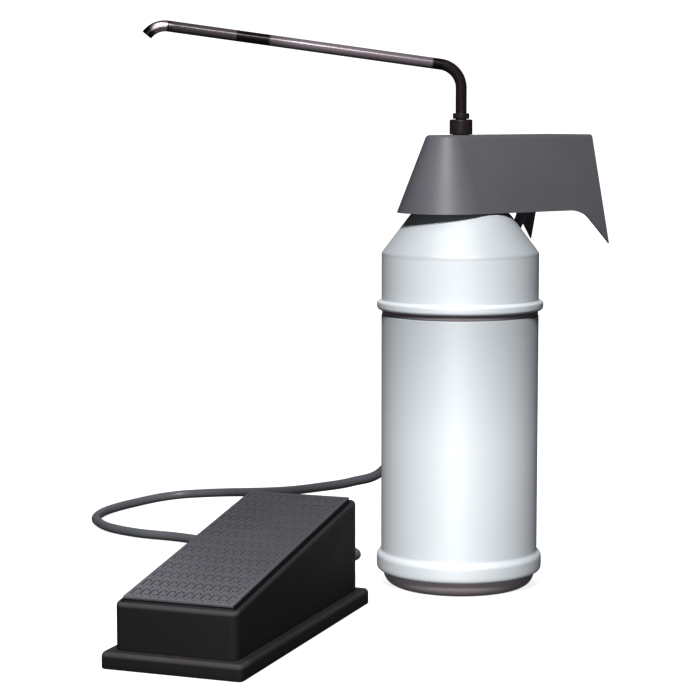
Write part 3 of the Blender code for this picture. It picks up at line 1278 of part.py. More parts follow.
pedal_black = make_material("pedal_black", (0.012, 0.010, 0.011), 0.34)
mat_grey = make_material("mat_grey", (0.10, 0.10, 0.115), 0.7)

PARTS = [
    (make_base_cap(), rubber_dark),
    (make_container_body(), container_white),
    (make_container_seal(), rubber_dark),
    (make_container_shoulder(), container_white),
    (make_neck_gasket(), gasket_rubber),
    (make_valve_head(), head_plastic),
    (make_outlet_ball(), steel),
    (make_air_check_valve(), gasket_rubber),
    (make_head_air_fitting(), brass),
    (make_hose_ferrule(), steel),
    (make_lock_nut(), collar_black),
    (make_spout_collar(), collar_black),
    (make_spout_ring(), gasket_rubber),
    (make_spout_tube(), spout_chrome),
    (make_dip_tube(), clear_plastic),
    (make_intake_strainer(), clear_plastic),
    (make_shroud(), sheet_grey),
    (make_wall_bracket(), bracket_steel),
    (make_air_hose(), hose_grey),
]
for obj, material in PARTS:
    place(obj, parts, material)

pedal = bpy.data.objects.new("pedal_origin", None)
parts.objects.link(pedal)
pedal.location = (*PEDAL_PLACE, 0.0)
pedal.rotation_euler.z = math.radians(PEDAL_TURN_DEG)

PEDAL_PARTS = [
    (make_pedal_base(pedal), pedal_black),
    (make_pedal_housing(pedal), pedal_black),
    (make_hinge_pin(), steel),
    (make_treadle(pedal), pedal_black),
    (make_tread_mat(), mat_grey),
    (make_bellows_seat(pedal), head_plastic),
    (make_intake_valve(), gasket_rubber),
    (make_pump_bellows(), gasket_rubber),
    (make_treadle_spring(), steel),
    (make_hose_gland(), pedal_black),
    (make_gland_nut(pedal), brass),
    (make_pedal_air_tube(), hose_grey),
    *[(pad, rubber_dark) for pad in make_foot_pads()],
    *[(screw, steel) for screw in make_base_screws()],
]
for obj, material in PEDAL_PARTS:
    place(obj, parts, material, pedal)
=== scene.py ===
# Foot-operated soap dispenser: the dressed model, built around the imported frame.
# Sizes are typed in millimetres and kept in metres; the hose's route, camera and lights are in metres.
import math

import bmesh
import bpy
import numpy as np
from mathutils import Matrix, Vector


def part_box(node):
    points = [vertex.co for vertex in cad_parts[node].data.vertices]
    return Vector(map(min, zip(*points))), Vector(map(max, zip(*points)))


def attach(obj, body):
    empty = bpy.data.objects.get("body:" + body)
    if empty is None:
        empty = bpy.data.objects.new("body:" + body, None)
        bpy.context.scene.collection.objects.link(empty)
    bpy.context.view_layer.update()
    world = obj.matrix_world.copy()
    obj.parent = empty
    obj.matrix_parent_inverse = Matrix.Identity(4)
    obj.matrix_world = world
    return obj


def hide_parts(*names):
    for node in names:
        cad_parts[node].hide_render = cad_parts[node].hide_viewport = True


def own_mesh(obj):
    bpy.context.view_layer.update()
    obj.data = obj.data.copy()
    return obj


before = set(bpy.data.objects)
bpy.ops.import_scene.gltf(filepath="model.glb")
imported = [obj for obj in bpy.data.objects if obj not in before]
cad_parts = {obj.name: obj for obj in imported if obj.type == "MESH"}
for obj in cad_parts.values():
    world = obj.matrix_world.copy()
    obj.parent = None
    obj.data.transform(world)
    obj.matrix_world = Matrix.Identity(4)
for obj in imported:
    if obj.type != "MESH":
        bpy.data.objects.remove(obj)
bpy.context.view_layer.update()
scene = bpy.context.scene
mm = 0.001
middle = math.inf  # the inset of an outline that closes at its middle
leastCorner = 0.2 * mm  # of an outline that is drawn in
print("stage 1: frame loaded,", len(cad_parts), "nodes")


def sized(**lengths):
    # named lengths in millimetres, kept in metres
    return {name: length * mm for name, length in lengths.items()}


def inMm(*rows):
    # numbers or rows of numbers in millimetres, as an array in metres
    return np.array(rows, float) * mm


def cellCorners(rows, columns, around, first):
    # each cell joins a point with the ones below, below and beside, and beside it
    i, j = np.meshgrid(np.arange(rows - 1), np.arange(columns if around else columns - 1), indexing="ij")
    beside = (j + 1) % columns
    cells = [i * columns + j, (i + 1) * columns + j, (i + 1) * columns + beside, i * columns + beside]
    return first + np.stack(cells, axis=-1).reshape(-1, 4)


def newMesh(name, grids, around=True):
    # grids of rows x columns x 3 points go into one mesh; around joins each row's end to its start
    points, cells, first = [], [], 0
    for grid in grids:
        rows, columns = grid.shape[:2]
        points.append(grid.reshape(-1, 3))
        cells.append(cellCorners(rows, columns, around, first))
        first += rows * columns
    points, cells = np.concatenate(points), np.concatenate(cells)
    mesh = bpy.data.meshes.new(name)
    mesh.vertices.add(len(points))
    mesh.vertices.foreach_set("co", points.astype(np.float32).ravel())
    mesh.loops.add(cells.size)
    mesh.loops.foreach_set("vertex_index", cells.astype(np.int32).ravel())
    mesh.polygons.add(len(cells))
    mesh.polygons.foreach_set("loop_start", np.arange(0, cells.size, 4, dtype=np.int32))
    mesh.update(calc_edges=True)
    return mesh


def closeSeams(mesh, sharpDeg=32.0, distance=1e-6, flatDeg=None):
    # merges seams and poles and keeps edges sharper than sharpDeg; a new mesh's faces are turned outwards,
    # and a copied mesh has its facets joined where they meet at less than flatDeg
    bm = bmesh.new()
    bm.from_mesh(mesh)
    bmesh.ops.remove_doubles(bm, verts=bm.verts, dist=distance)
    if flatDeg:
        bmesh.ops.dissolve_limit(bm, angle_limit=math.radians(flatDeg), verts=bm.verts, edges=bm.edges)
    else:
        bmesh.ops.dissolve_degenerate(bm, edges=bm.edges, dist=distance / 2)
        bmesh.ops.recalc_face_normals(bm, faces=bm.faces)
    bm.to_mesh(mesh)
    bm.free()
    mesh.shade_smooth()
    mesh.set_sharp_from_angle(angle=math.radians(sharpDeg))
    return mesh


def addPiece(name, mesh, finish, node, body="root"):
    # gives the piece its finish, the body it rides on and the CAD node that it stands for
    piece = bpy.data.objects.new(name, mesh)
    scene.collection.objects.link(piece)
    mesh.materials.clear()
    mesh.materials.append(finish.material)
    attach(piece, body)
    if node:
        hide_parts(node)
    return piece


def makePiece(name, grids, finish, node, body="root", sharpDeg=32.0, around=True, distance=1e-6):
    # a piece made of new surfaces
    mesh = closeSeams(newMesh(name, grids, around), sharpDeg, distance)
    return addPiece(name, mesh, finish, node, body)


def softened(points, radius, steps, closed=False):
    # a corner becomes the curve (1-t)^2 start + 2t(1-t) corner + t^2 end, each end a radius away from it
    points = np.asarray(points, float)
    radii = np.broadcast_to(np.asarray(radius, float), len(points))
    ends = []
    for neighbour in (1, -1):  # an end takes less than half of the way to its neighbour
        way = np.roll(points, neighbour, axis=0) - points
        length = np.maximum(np.linalg.norm(way, axis=1), 1e-9)
        ends.append((points + way * (np.minimum(radii, 0.48 * length) / length)[:, None])[:, None])
    t = np.linspace(0, 1, steps)[None, :, None]
    curve = (1 - t) ** 2 * ends[0] + 2 * t * (1 - t) * points[:, None] + t**2 * ends[1]
    if closed:
        return np.concatenate([*curve, curve[0, :1]])
    return np.concatenate([points[:1], *curve[1:-1], points[-1:]])


def turned(profile, segments):
    # a profile of (radius, height) goes round Z: radius * cos, radius * sin, height; one of three columns
    # has a radius for x and one for y
    angle = np.arange(segments) * math.tau / segments
    x, y, height = profile[:, :1], profile[:, -2:-1], profile[:, -1:]
    return np.stack([x * np.cos(angle), y * np.sin(angle), height + 0 * angle], axis=-1)


def carried(path, radius, sides, sideways=None):
    # a round section stands square to the path: path + radius * (side * cos + up * sin)
    ahead = np.gradient(path, axis=0)
    if not ahead[0].any():  # closed ends repeat their point
        ahead[0], ahead[-1] = ahead[1], ahead[-2]
    ahead /= np.linalg.norm(ahead, axis=1)[:, None]
    side = np.cross(ahead, [0.0, 0.0, 1.0]) if sideways is None else np.tile(sideways, (len(path), 1))
    side /= np.linalg.norm(side, axis=1)[:, None]
    up = np.cross(side, ahead)
    angle = (np.arange(sides) * math.tau / sides)[None, :, None]
    radius = np.broadcast_to(np.asarray(radius, float), len(path))[:, None, None]
    return path[:, None] + radius * (side[:, None] * np.cos(angle) + up[:, None] * np.sin(angle))


def roundedRectangle(halfX, halfY, corner, steps):
    # four quarter circles: corner's centre + corner * (cos, sin), as one closed outline
    angle = np.arange(4)[:, None] * math.pi / 2 + np.linspace(0, math.pi / 2, steps)[None, :]
    centres = np.array([(1, 1), (-1, 1), (-1, -1), (1, -1)]) * (np.array([halfX, halfY]) - corner)
    return (centres[:, None] + corner * np.stack([np.cos(angle), np.sin(angle)], axis=-1)).reshape(-1, 2)


def stacked(halfX, halfY, corner, levels, height=None, steps=8):
    # rounded rectangles, each drawn in by its inset, are stacked at the levels' heights
    rows = []
    for inset, level in levels:
        if inset == middle:
            outline = np.zeros((4 * steps, 2))
        else:
            outline = roundedRectangle(halfX - inset, halfY - inset, max(corner - inset, leastCorner), steps)
        z = level + 0 * outline[:, 0] if height is None else height(outline, level)
        rows.append(np.column_stack([outline, z]))
    return np.stack(rows)


def roundOver(insetStart, heightStart, insetEnd, heightEnd, steps):
    # a quarter ellipse from an upright side to a level top: inset grows with 1 - cos, height with sin
    angle = np.linspace(0, math.pi / 2, steps)
    inset = insetStart + (insetEnd - insetStart) * (1 - np.cos(angle))
    return list(zip(inset, heightStart + (heightEnd - heightStart) * np.sin(angle)))


def turnedFlat(grid, degrees):
    # points turned about Z: x cos - y sin, x sin + y cos, z
    cos, sin = math.cos(math.radians(degrees)), math.sin(math.radians(degrees))
    x, y, z = grid[..., 0], grid[..., 1], grid[..., 2]
    return np.stack([x * cos - y * sin, x * sin + y * cos, z], axis=-1)


class Wire:
    # one output of a node; sums, differences and products of it add Math nodes
    def __init__(self, nodes, socket):
        self.nodes, self.socket = nodes, socket

    def __add__(self, other):
        return self.nodes.maths("ADD", self, other)

    def __sub__(self, other):
        return self.nodes.maths("SUBTRACT", self, other)

    def __rsub__(self, other):
        return self.nodes.maths("SUBTRACT", other, self)

    def __mul__(self, other):
        return self.nodes.maths("MULTIPLY", self, other)

    __radd__ = __add__
    __rmul__ = __mul__


class Nodes:
    # a node tree; node() adds one node, its settings first, then its sockets' values or links
    def __init__(self, tree):
        self.tree = tree

    def node(self, kind, settings, inputs, output=0):
        made = self.tree.nodes.new(kind)
        for key, value in settings.items():
            if key == "stops":
                ramp = made.color_ramp.elements
                while len(ramp) < len(value):
                    ramp.new(1.0)
                for stop, (position, shade) in zip(ramp, value):
                    stop.position, stop.color = position, (shade, shade, shade, 1.0)
            else:
                setattr(made, key, value)
        for key, value in inputs.items():
            if isinstance(value, Wire):
                self.tree.links.new(value.socket, made.inputs[key])
            else:
                made.inputs[key].default_value = value
        return Wire(self, made.outputs[output])

    def maths(self, operation, *values):
        return self.node("ShaderNodeMath", {"operation": operation}, dict(enumerate(values)))

    def lightPath(self, output):
        return self.node("ShaderNodeLightPath", {}, {}, output)

    def mixShader(self, factor, first, second):
        return self.node("ShaderNodeMixShader", {}, {0: factor, 1: first, 2: second})

    def show(self, outputNode, wire):
        self.tree.links.new(wire.socket, self.tree.nodes[outputNode].inputs["Surface"])


class Finish(Nodes):
    # a material for one slot: uniform values are set on the shader, patterns are wired by expressions
    def __init__(self, name, slotName, **values):
        self.material = bpy.data.materials.new(name)
        self.material.use_nodes = True
        super().__init__(self.material.node_tree)
        self.slotName = slotName
        self.shader = self.tree.nodes["Principled BSDF"]
        for key, value in values.items():
            self.shader.inputs[key.replace("_", " ")].default_value = value
        self.place = self.node("ShaderNodeTexCoord", {}, {}, "Object")

    def axis(self, name):
        return self.node("ShaderNodeSeparateXYZ", {}, {0: self.place}, name)

    def along(self):
        return self.node("ShaderNodeAttribute", {"attribute_name": "along"}, {}, "Fac")

    def noise(self, scale, detail, stretch=(1.0, 1.0, 1.0)):
        place = self.node("ShaderNodeMapping", {}, {"Vector": self.place, "Scale": stretch})
        return self.node("ShaderNodeTexNoise", {}, {"Vector": place, "Scale": scale, "Detail": detail})

    def ramp(self, wire, *stops):
        return self.node("ShaderNodeValToRGB", {"stops": stops}, {0: wire})

    def between(self, factor, first, second):
        # shades are given as three numbers, or come by wire
        inputs = {6: first, 7: second}
        inputs = {key: value if isinstance(value, Wire) else (*value, 1) for key, value in inputs.items()}
        return self.node("ShaderNodeMix", {"data_type": "RGBA"}, {"Factor": factor, **inputs}, 2)

    def feed(self, **wires):
        for key, wire in wires.items():
            self.tree.links.new(wire.socket, self.shader.inputs[key.replace("_", " ")])

    def surface(self, shade, low, high, roughness, marks, spread):
        # shade moves the colour from low to high; marks move the roughness about its middle by their spread
        self.feed(Base_Color=self.between(shade, low, high), Roughness=roughness + (marks - 0.5) * spread)

    def bump(self, height, strength, depth):
        # depth is in millimetres
        inputs = {"Height": height, "Strength": strength, "Distance": depth * mm}
        self.feed(Normal=self.node("ShaderNodeBump", {}, inputs))


def mouldedPlastic(name, slotName, low, high, roughness, grain=900.0, depth=0.06, specular=0.5):
    # colour drifts slowly between two shades; the skin is a fine moulding grain, its depth in millimetres
    finish = Finish(name, slotName, Specular_IOR_Level=specular)
    drift = finish.ramp(finish.noise(18.0, 2.0), (0.35, 0.0), (0.65, 1.0))
    finish.surface(drift, low, high, roughness, finish.noise(60.0, 4.0), 0.14)
    finish.bump(finish.noise(grain, 2.0), 0.35, depth)
    return finish


def metalSkin(name, slotName, low, high, roughness, brushed):
    # brush marks are a noise stretched along the metal; they move both shade and gloss
    finish = Finish(name, slotName, Metallic=1.0)
    marks = finish.noise(300.0, 4.0, brushed)
    finish.surface(marks, low, high, roughness, marks, 0.16)
    finish.bump(marks, 0.3, 0.02)
    return finish


def containerSkin():
    # white moulded plastic: a faint blue drift and a fine skin; painted shade makes it greyer under the bead
    # and on the cone
    finish = Finish("containerWhite", "container_white", Specular_IOR_Level=1.0)
    drift = finish.ramp(finish.noise(9.0, 2.0), (0.3, 0.0), (0.7, 1.0))
    white = finish.between(drift, (0.395, 0.418, 0.438), (0.422, 0.444, 0.462))
    # painted shade: the body darkens from its middle up to the bead, and the cone is darker than the
    # shoulder's side
    paintedShade = finish.ramp(finish.axis("Z") * 4.0, (0.34, 0.90), (0.60, 0.28), (0.634, 0.22), (0.64, 1.0),
                        (0.759, 1.0), (0.767, 0.32), (0.84, 0.42), (1.0, 0.20))
    finish.surface(paintedShade, (0.262, 0.280, 0.295), white, 0.53, finish.noise(70.0, 3.0), 0.08)
    finish.bump(finish.noise(420.0, 2.0), 0.25, 0.05)
    return finish


def coverSkin():
    # satin grey coat on sheet: a fine speckle in shade and a pebbled skin
    finish = Finish("sheetGrey", "sheet_grey", Metallic=0.06, Specular_IOR_Level=0.22)
    speck = finish.noise(1500.0, 2.0)
    shade = finish.ramp(speck * 0.5 + finish.noise(14.0, 2.0) * 0.5, (0.35, 0.0), (0.65, 1.0))
    finish.surface(shade, (0.066, 0.067, 0.074), (0.089, 0.090, 0.099), 0.53, speck, 0.10)
    finish.bump(finish.noise(1100.0, 2.0), 0.3, 0.04)
    return finish


def spoutSkin():
    # dark plated tube: colour and metal follow the tube's length; painted reflections make the arm lighter
    # along its middle and put a bright painted highlight over the outlet's bend, two bands are painted dark
    # reflections, and a dark seam marks where the bend begins
    finish = Finish("spoutChrome", "spout_chrome", Specular_IOR_Level=0.06)
    along = finish.along()
    # two bands of painted dark reflection across the arm
    firstDarkReflection = finish.ramp(along, (0.0, 0.0), (0.236, 0.0), (0.238, 1.0), (0.263, 1.0), (0.265, 0.0))
    secondDarkReflection = finish.ramp(along, (0.0, 0.0), (0.678, 0.0), (0.681, 1.0), (0.762, 1.0), (0.765, 0.0))
    seam = finish.ramp(along, (0.0, 0.0), (0.9365, 0.0), (0.9375, 0.8), (0.9395, 0.8), (0.9405, 0.0))
    dark = finish.maths("MAXIMUM", finish.maths("MAXIMUM", firstDarkReflection, secondDarkReflection), seam)
    # painted reflection along the tube: dark riser and elbow, a lighter arm, and a painted highlight over the
    # outlet's bend
    paintedReflection = finish.ramp(along, (0.0, 0.01), (0.236, 0.01), (0.27, 0.23), (0.60, 0.29), (0.70, 0.11),
                         (0.937, 0.07), (0.945, 1.0), (0.970, 1.0), (0.985, 0.03))
    plateWithReflection = finish.between(paintedReflection, (0.010, 0.007, 0.009), (0.38, 0.335, 0.362))
    finish.surface(dark, plateWithReflection, (0.007, 0.005, 0.006), 0.29, finish.noise(55.0, 3.0), 0.10)
    finish.feed(Metallic=finish.ramp(along, (0.0, 0.03), (0.236, 0.03), (0.27, 0.19), (0.60, 0.22),
                                     (0.70, 0.08), (0.92, 0.08), (0.945, 1.0)))
    finish.bump(finish.noise(500.0, 2.0), 0.15, 0.01)
    return finish


def hoseSkin():
    # grey soft plastic with faint rings along its length, left by its winding
    finish = Finish("hoseGrey", "hose_grey", Specular_IOR_Level=0.3)
    rings = finish.maths("SINE", finish.along() * 5200.0)
    shade, marks = finish.noise(30.0, 3.0), finish.noise(240.0, 3.0)
    finish.surface(shade, (0.068, 0.069, 0.077), (0.104, 0.109, 0.118), 0.42, marks, 0.16)
    finish.bump(rings * 0.4 + finish.noise(700.0, 2.0), 0.3, 0.03)
    return finish


def matSkin():
    # grey rubber, paler towards the front with a patchy drift, and grained all over
    finish = Finish("matGrey", "mat_grey", Specular_IOR_Level=0.12)
    near = finish.ramp((-0.088 - finish.axis("Y")) * 5.95, (0.0, 0.12), (0.5, 0.34), (0.85, 1.0))
    paleness = near * 0.85 + (finish.noise(22.0, 3.0) - 0.35) * 0.5
    finish.surface(paleness, (0.038, 0.037, 0.042), (0.083, 0.081, 0.091), 0.72, finish.noise(300.0, 3.0), 0.2)
    finish.bump(finish.noise(1300.0, 3.0), 0.5, 0.06)
    return finish


containerWhite = containerSkin()
sheetGrey = coverSkin()
spoutChrome = spoutSkin()
hoseGrey = hoseSkin()
matGrey = matSkin()
markGrey = mouldedPlastic("markGrey", "mat_grey", (0.020, 0.020, 0.024), (0.036, 0.035, 0.041), 0.66,
                          1300.0, specular=0.3)
capRubber = mouldedPlastic("capRubber", "rubber_dark", (0.165, 0.145, 0.157), (0.21, 0.185, 0.198), 0.44,
                           700.0, specular=0.15)
# dark rubber of the seal; its dark band also stands in for the shadow under the shoulder's bead
darkSealAndShade = mouldedPlastic("darkSealAndShade", "rubber_dark", (0.130, 0.110, 0.120), (0.175, 0.150, 0.160), 0.44,
                            700.0, specular=0.2)
collarBlack = mouldedPlastic("collarBlack", "collar_black", (0.010, 0.008, 0.009), (0.018, 0.014, 0.016),
                             0.36, specular=0.12)
headBlack = mouldedPlastic("headBlack", "head_plastic", (0.026, 0.026, 0.028), (0.040, 0.040, 0.043), 0.48,
                           800.0)
padRubber = mouldedPlastic("padRubber", "rubber_dark", (0.045, 0.040, 0.043), (0.065, 0.058, 0.062), 0.75,
                           600.0, 0.09)
tubeGrey = mouldedPlastic("tubeGrey", "hose_grey", (0.070, 0.072, 0.080), (0.110, 0.114, 0.124), 0.40, 800.0)
gasketRubber = mouldedPlastic("gasketRubber", "gasket_rubber", (0.050, 0.050, 0.052), (0.070, 0.070, 0.073),
                              0.68)
milkyPlastic = mouldedPlastic("milkyPlastic", "clear_plastic", (0.68, 0.72, 0.72), (0.78, 0.81, 0.81), 0.28,
                              500.0)
darkSteel = metalSkin("darkSteel", "steel", (0.035, 0.034, 0.036), (0.060, 0.058, 0.060), 0.45,
                      (0.1, 1.0, 1.0))
bracketSteel = metalSkin("bracketSteel", "bracket_steel", (0.26, 0.26, 0.27), (0.36, 0.36, 0.37), 0.42,
                         (1.0, 0.06, 1.0))
brightSteel = metalSkin("brightSteel", "steel", (0.50, 0.50, 0.51), (0.62, 0.62, 0.63), 0.28,
                        (1.0, 1.0, 0.08))
turnedBrass = metalSkin("turnedBrass", "brass", (0.52, 0.37, 0.14), (0.66, 0.49, 0.21), 0.28,
                        (0.1, 1.0, 1.0))
print("stage 2: finishes made")


view = dict(place=(0.9071, -0.8212, 0.2715), aheadX=-0.77495, aheadY=0.63203, pitchDeg=6.337, lens=110.0,
            sensor=36.0, farthest=100.0)
camera = bpy.data.objects.new("camera", bpy.data.cameras.new("camera"))
scene.collection.objects.link(camera)
camera.location = view["place"]
pitch = math.radians(view["pitchDeg"])
ahead = Vector((view["aheadX"] * math.cos(pitch), view["aheadY"] * math.cos(pitch), -math.sin(pitch)))
camera.rotation_euler = ahead.to_track_quat("-Z", "Y").to_euler()
camera.data.lens = view["lens"]
camera.data.sensor_width = view["sensor"]
camera.data.clip_end = view["farthest"]
scene.camera = camera
scene.view_settings.view_transform = "Standard"
scene.view_settings.look = "Medium High Contrast"


def softLight(name, azimuthDeg, elevationDeg, distance, width, height, power, aimHeight=0.13, kind="AREA"):
    # azimuth is measured from the camera's side of the object, to its right; the power is in watts
    turn = math.atan2(-view["aheadY"], -view["aheadX"]) + math.radians(azimuthDeg)
    rise = math.radians(elevationDeg)
    away = Vector((math.cos(turn) * math.cos(rise), math.sin(turn) * math.cos(rise), math.sin(rise)))
    data = bpy.data.lights.new(name, kind)
    data.energy = power
    if kind == "AREA":
        data.shape, data.size, data.size_y = "RECTANGLE", width, height
    else:
        data.shadow_soft_size = width / 2
    lamp = bpy.data.objects.new(name, data)
    scene.collection.objects.link(lamp)
    lamp.location = Vector((0.0, 0.0, aimHeight)) + away * distance
    lamp.rotation_euler = (-away).to_track_quat("-Z", "Y").to_euler()
    return lamp


softLight("keyLight", -6, 42, 1.6, 0.24, 0.24, 43)
softLight("lowLight", -9, 4, 1.6, 0.6, 0.2, 3.4)
softLight("backLight", 182, 28, 2.2, 0.8, 0.8, 45).visible_glossy = False
bodyLight = softLight("bodyLight", -8, 2, 1.6, 0.1, 0.1, 36, 0.045, "SPOT")
bodyLight.data.spot_size, bodyLight.data.spot_blend = math.radians(10.5), 1.0
softLight("bendLight", -53, 64, 1.8, 0.4, 0.4, 4)


def makeStudio():
    # a faint blue light from all round; the camera sees plain white
    world = bpy.data.worlds.new("studio")
    scene.world = world
    world.use_nodes = True
    studio = Nodes(world.node_tree)
    background = world.node_tree.nodes["Background"]
    background.inputs["Color"].default_value = (0.80, 0.87, 1.0, 1.0)
    background.inputs["Strength"].default_value = 0.022
    white = studio.node("ShaderNodeBackground", {}, {"Color": (1.0, 1.0, 1.0, 1.0)})
    faint = Wire(studio, background.outputs[0])
    studio.show("World Output", studio.mixShader(studio.lightPath("Is Camera Ray"), faint, white))


def makeFloor():
    # a pale round floor whose far part glows as bright as the studio's white
    reach = np.array([0.0, 0.5, 1.0, 2.0, 4.0, 40.0])
    mesh = closeSeams(newMesh("floor", [turned(np.column_stack([reach, 0 * reach]), 64)]))
    if mesh.polygons[0].normal.z < 0:
        mesh.flip_normals()
    floor = bpy.data.objects.new("floor", mesh)
    scene.collection.objects.link(floor)
    finish = Finish("floorPale", None, Roughness=0.75, Specular_IOR_Level=0.1)
    speck = finish.noise(40.0, 2.0)
    finish.feed(Base_Color=finish.between(speck, (0.90, 0.905, 0.91), (0.93, 0.935, 0.94)))
    far = finish.node("ShaderNodeVectorMath", {"operation": "LENGTH"}, {0: finish.place}, "Value")
    glow = finish.node("ShaderNodeEmission", {}, {"Color": (1, 1, 1, 1), "Strength": 1.0})
    dull = finish.node("ShaderNodeBsdfDiffuse", {}, {"Color": (0.040, 0.040, 0.042, 1)})
    sheen = finish.node("ShaderNodeEmission", {}, {"Color": (1, 1, 1, 1), "Strength": 0.20})
    share = finish.ramp(far * 0.5, (0.12, 0.72), (0.40, 1.0))
    pale = finish.mixShader(share, Wire(finish, finish.shader.outputs[0]), glow)
    unseen = finish.mixShader(finish.lightPath("Is Glossy Ray"), dull, sheen)
    finish.show("Material Output", finish.mixShader(finish.lightPath("Is Camera Ray"), unseen, pale))
    mesh.materials.append(finish.material)


makeStudio()
makeFloor()
print("stage 3: camera, light and floor set")


pedal = sized(x=21.9, y=-171.4) | dict(turnDeg=30.46)


def pedalToRoom(grid, x=0.0, y=0.0):
    # the pedal's own points, moved by x and y on it, are turned about Z and moved to its place on the floor
    moved = turnedFlat(grid + np.array([x, y, 0.0]), pedal["turnDeg"])
    return moved + np.array([pedal["x"], pedal["y"], 0.0])


def evenPath(route, count):
    # a smooth curve through the route's points (Hermite, knots by the root of the distance), in even steps
    route = np.asarray(route, float)
    steps = np.sqrt(np.linalg.norm(np.diff(route, axis=0), axis=1))
    knots = np.concatenate([[0.0], np.cumsum(steps)])
    slopes = np.gradient(route, knots, axis=0)
    t = np.linspace(0, 1, 24, endpoint=False)[None, :, None]
    span = np.diff(knots)[:, None, None]
    here, there = route[:-1, None], route[1:, None]
    slopeHere, slopeThere = slopes[:-1, None], slopes[1:, None]
    fine = ((2 * t**3 - 3 * t**2 + 1) * here + (t**3 - 2 * t**2 + t) * span * slopeHere
            + (3 * t**2 - 2 * t**3) * there + (t**3 - t**2) * span * slopeThere)
    fine = np.concatenate([*fine, route[-1:]])
    along = np.concatenate([[0.0], np.cumsum(np.linalg.norm(np.diff(fine, axis=0), axis=1))])
    even = np.linspace(0, along[-1], count)
    return np.stack([np.interp(even, along, fine[:, k]) for k in range(3)], axis=-1), along[-1]


head = sized(elbowY=22.5, portHeight=243.5) | dict(tiltDeg=30.0, yawDeg=7.0)
tilt, yaw = math.radians(head["tiltDeg"]), math.radians(head["yawDeg"])
armWay = np.array([-math.cos(tilt) * math.sin(yaw), math.cos(tilt) * math.cos(yaw), -math.sin(tilt)])


def armPoint(distance):
    # a point on the middle line of the head's air arm
    return np.array([0.0, head["elbowY"], head["portHeight"]]) + armWay * distance


# fall runs from the head down behind the container, its heights as shares of the port's; lie runs on
# down to the floor, round the loop and up to the pedal
hose = sized(radius=2.92, start=15.8, lead=6.0) | dict(gland=inMm(16.0, 92.9, 21.0), points=320)
fall = [(-0.0034, 0.0481, 0.932), (-0.0048, 0.0524, 0.901), (-0.0072, 0.0545, 0.868),
        (-0.0220, 0.0500, 0.752), (-0.0420, 0.0480, 0.612), (-0.0630, 0.0430, 0.461),
        (-0.0830, 0.0340, 0.319)]
lie = [(-0.1017, 0.0264, 0.0487), (-0.1250, 0.0225, 0.0398), (-0.1618, 0.0230, 0.0310),
       (-0.2051, 0.0300, 0.0220), (-0.2536, 0.0340, 0.0140), (-0.2760, 0.0310, 0.0110),
       (-0.2930, 0.0240, 0.0088), (-0.3040, 0.0150, 0.0074), (-0.3090, 0.0021, 0.0064),
       (-0.3095, -0.0150, 0.0053), (-0.3066, -0.0349, 0.0043), (-0.3010, -0.0500, 0.0036),
       (-0.2877, -0.0650, 0.0032), (-0.2738, -0.0720, 0.0032), (-0.2532, -0.0764, 0.0032),
       (-0.2262, -0.0723, 0.0032), (-0.1990, -0.0600, 0.0032), (-0.1650, -0.0510, 0.0034),
       (-0.1300, -0.0480, 0.0052), (-0.0800, -0.0455, 0.0122), (-0.0504, -0.0445, 0.0166),
       (-0.0401, -0.0461, 0.0172), (-0.0323, -0.0506, 0.0177), (-0.0266, -0.0573, 0.0186),
       (-0.0205, -0.0676, 0.0200)]
gland = np.array([hose["gland"] + [0.0, hose["lead"], 0.0], hose["gland"]])
route = [armPoint(hose["start"]), armPoint(hose["start"] + hose["lead"]),
         *[(x, y, share * head["portHeight"]) for x, y, share in fall], *lie, *pedalToRoom(gland)]
hosePath, hoseLength = evenPath(route, hose["points"])


def makeTube(name, path, radius, sides, finish, node, body="root", bore=None, sideways=None):
    # an outer wall, closed at its ends or joined there to an inner wall; "along" is the share of its length
    away = np.linalg.norm(np.diff(path, axis=0), axis=1)
    share = np.concatenate([[0.0], np.cumsum(away)]) / away.sum()
    if bore is None:  # the ends repeat their point at no radius
        path = np.concatenate([path[:1], path, path[-1:]])
        radii = np.concatenate([[0.0], np.full(len(share), radius), [0.0]])
        share = np.concatenate([[0.0], share, [1.0]])
        grid = carried(path, radii, sides)
    else:
        outer, inner = carried(path, radius, sides, sideways), carried(path, bore, sides, sideways)
        grid = np.concatenate([outer, inner[::-1], outer[:1]])
        share = np.concatenate([share, share[::-1], share[:1]])
    mesh = newMesh(name, [grid])
    values = np.repeat(share, sides).astype(np.float32)
    mesh.attributes.new("along", "FLOAT", "POINT").data.foreach_set("value", values)
    return addPiece(name, closeSeams(mesh, 50.0), finish, node, body)


airHose = makeTube("airHose", hosePath, hose["radius"], 20, hoseGrey, "air_hose")
print("stage 4: air hose laid,", round(hoseLength, 4), "m")


# profiles of (radius, height), each corner softened by its edge; the body's runs from its floor up the
# bore to the rim, then down outside over the lower bead to the foot
canister = dict(
    profile=inMm((0.0, 5.3), (38.7, 5.3), (43.0, 10.9), (43.0, 156.5), (45.0, 156.5), (45.0, 20.0),
                 (47.6, 18.2), (47.6, 10.1), (46.2, 8.9), (40.7, 8.9), (40.7, 3.3), (0.0, 3.3)),
    edges=inMm(0, 2, 2, 0.5, 0.6, 1.2, 1.6, 2.2, 0.8, 0.3, 0.6, 0), steps=7, segments=160)
# the shoulder's: neck, crown, cone, straight side with its bead, spigot, and back up the inside
shoulder = dict(
    profile=inMm((14.0, 226.3), (14.0, 215.8), (25.8, 215.8), (28.4, 213.9), (45.0, 192.0), (45.0, 165.2),
                 (47.6, 164.1), (47.6, 160.7), (46.5, 159.6), (42.7, 159.6), (42.7, 148.0), (40.9, 148.0),
                 (40.9, 159.6), (43.2, 165.2), (43.2, 191.1), (26.6, 212.1), (11.5, 212.1), (11.5, 226.3)),
    edges=inMm(0.5, 1.2, 2.0, 2.2, 1.2, 0.5, 0.8, 0.8, 0.5, 0.3, 0.4, 0.4, 0.5, 0.5, 3.0, 2.0, 0.6, 0.5),
    steps=8, segments=160, closed=True)
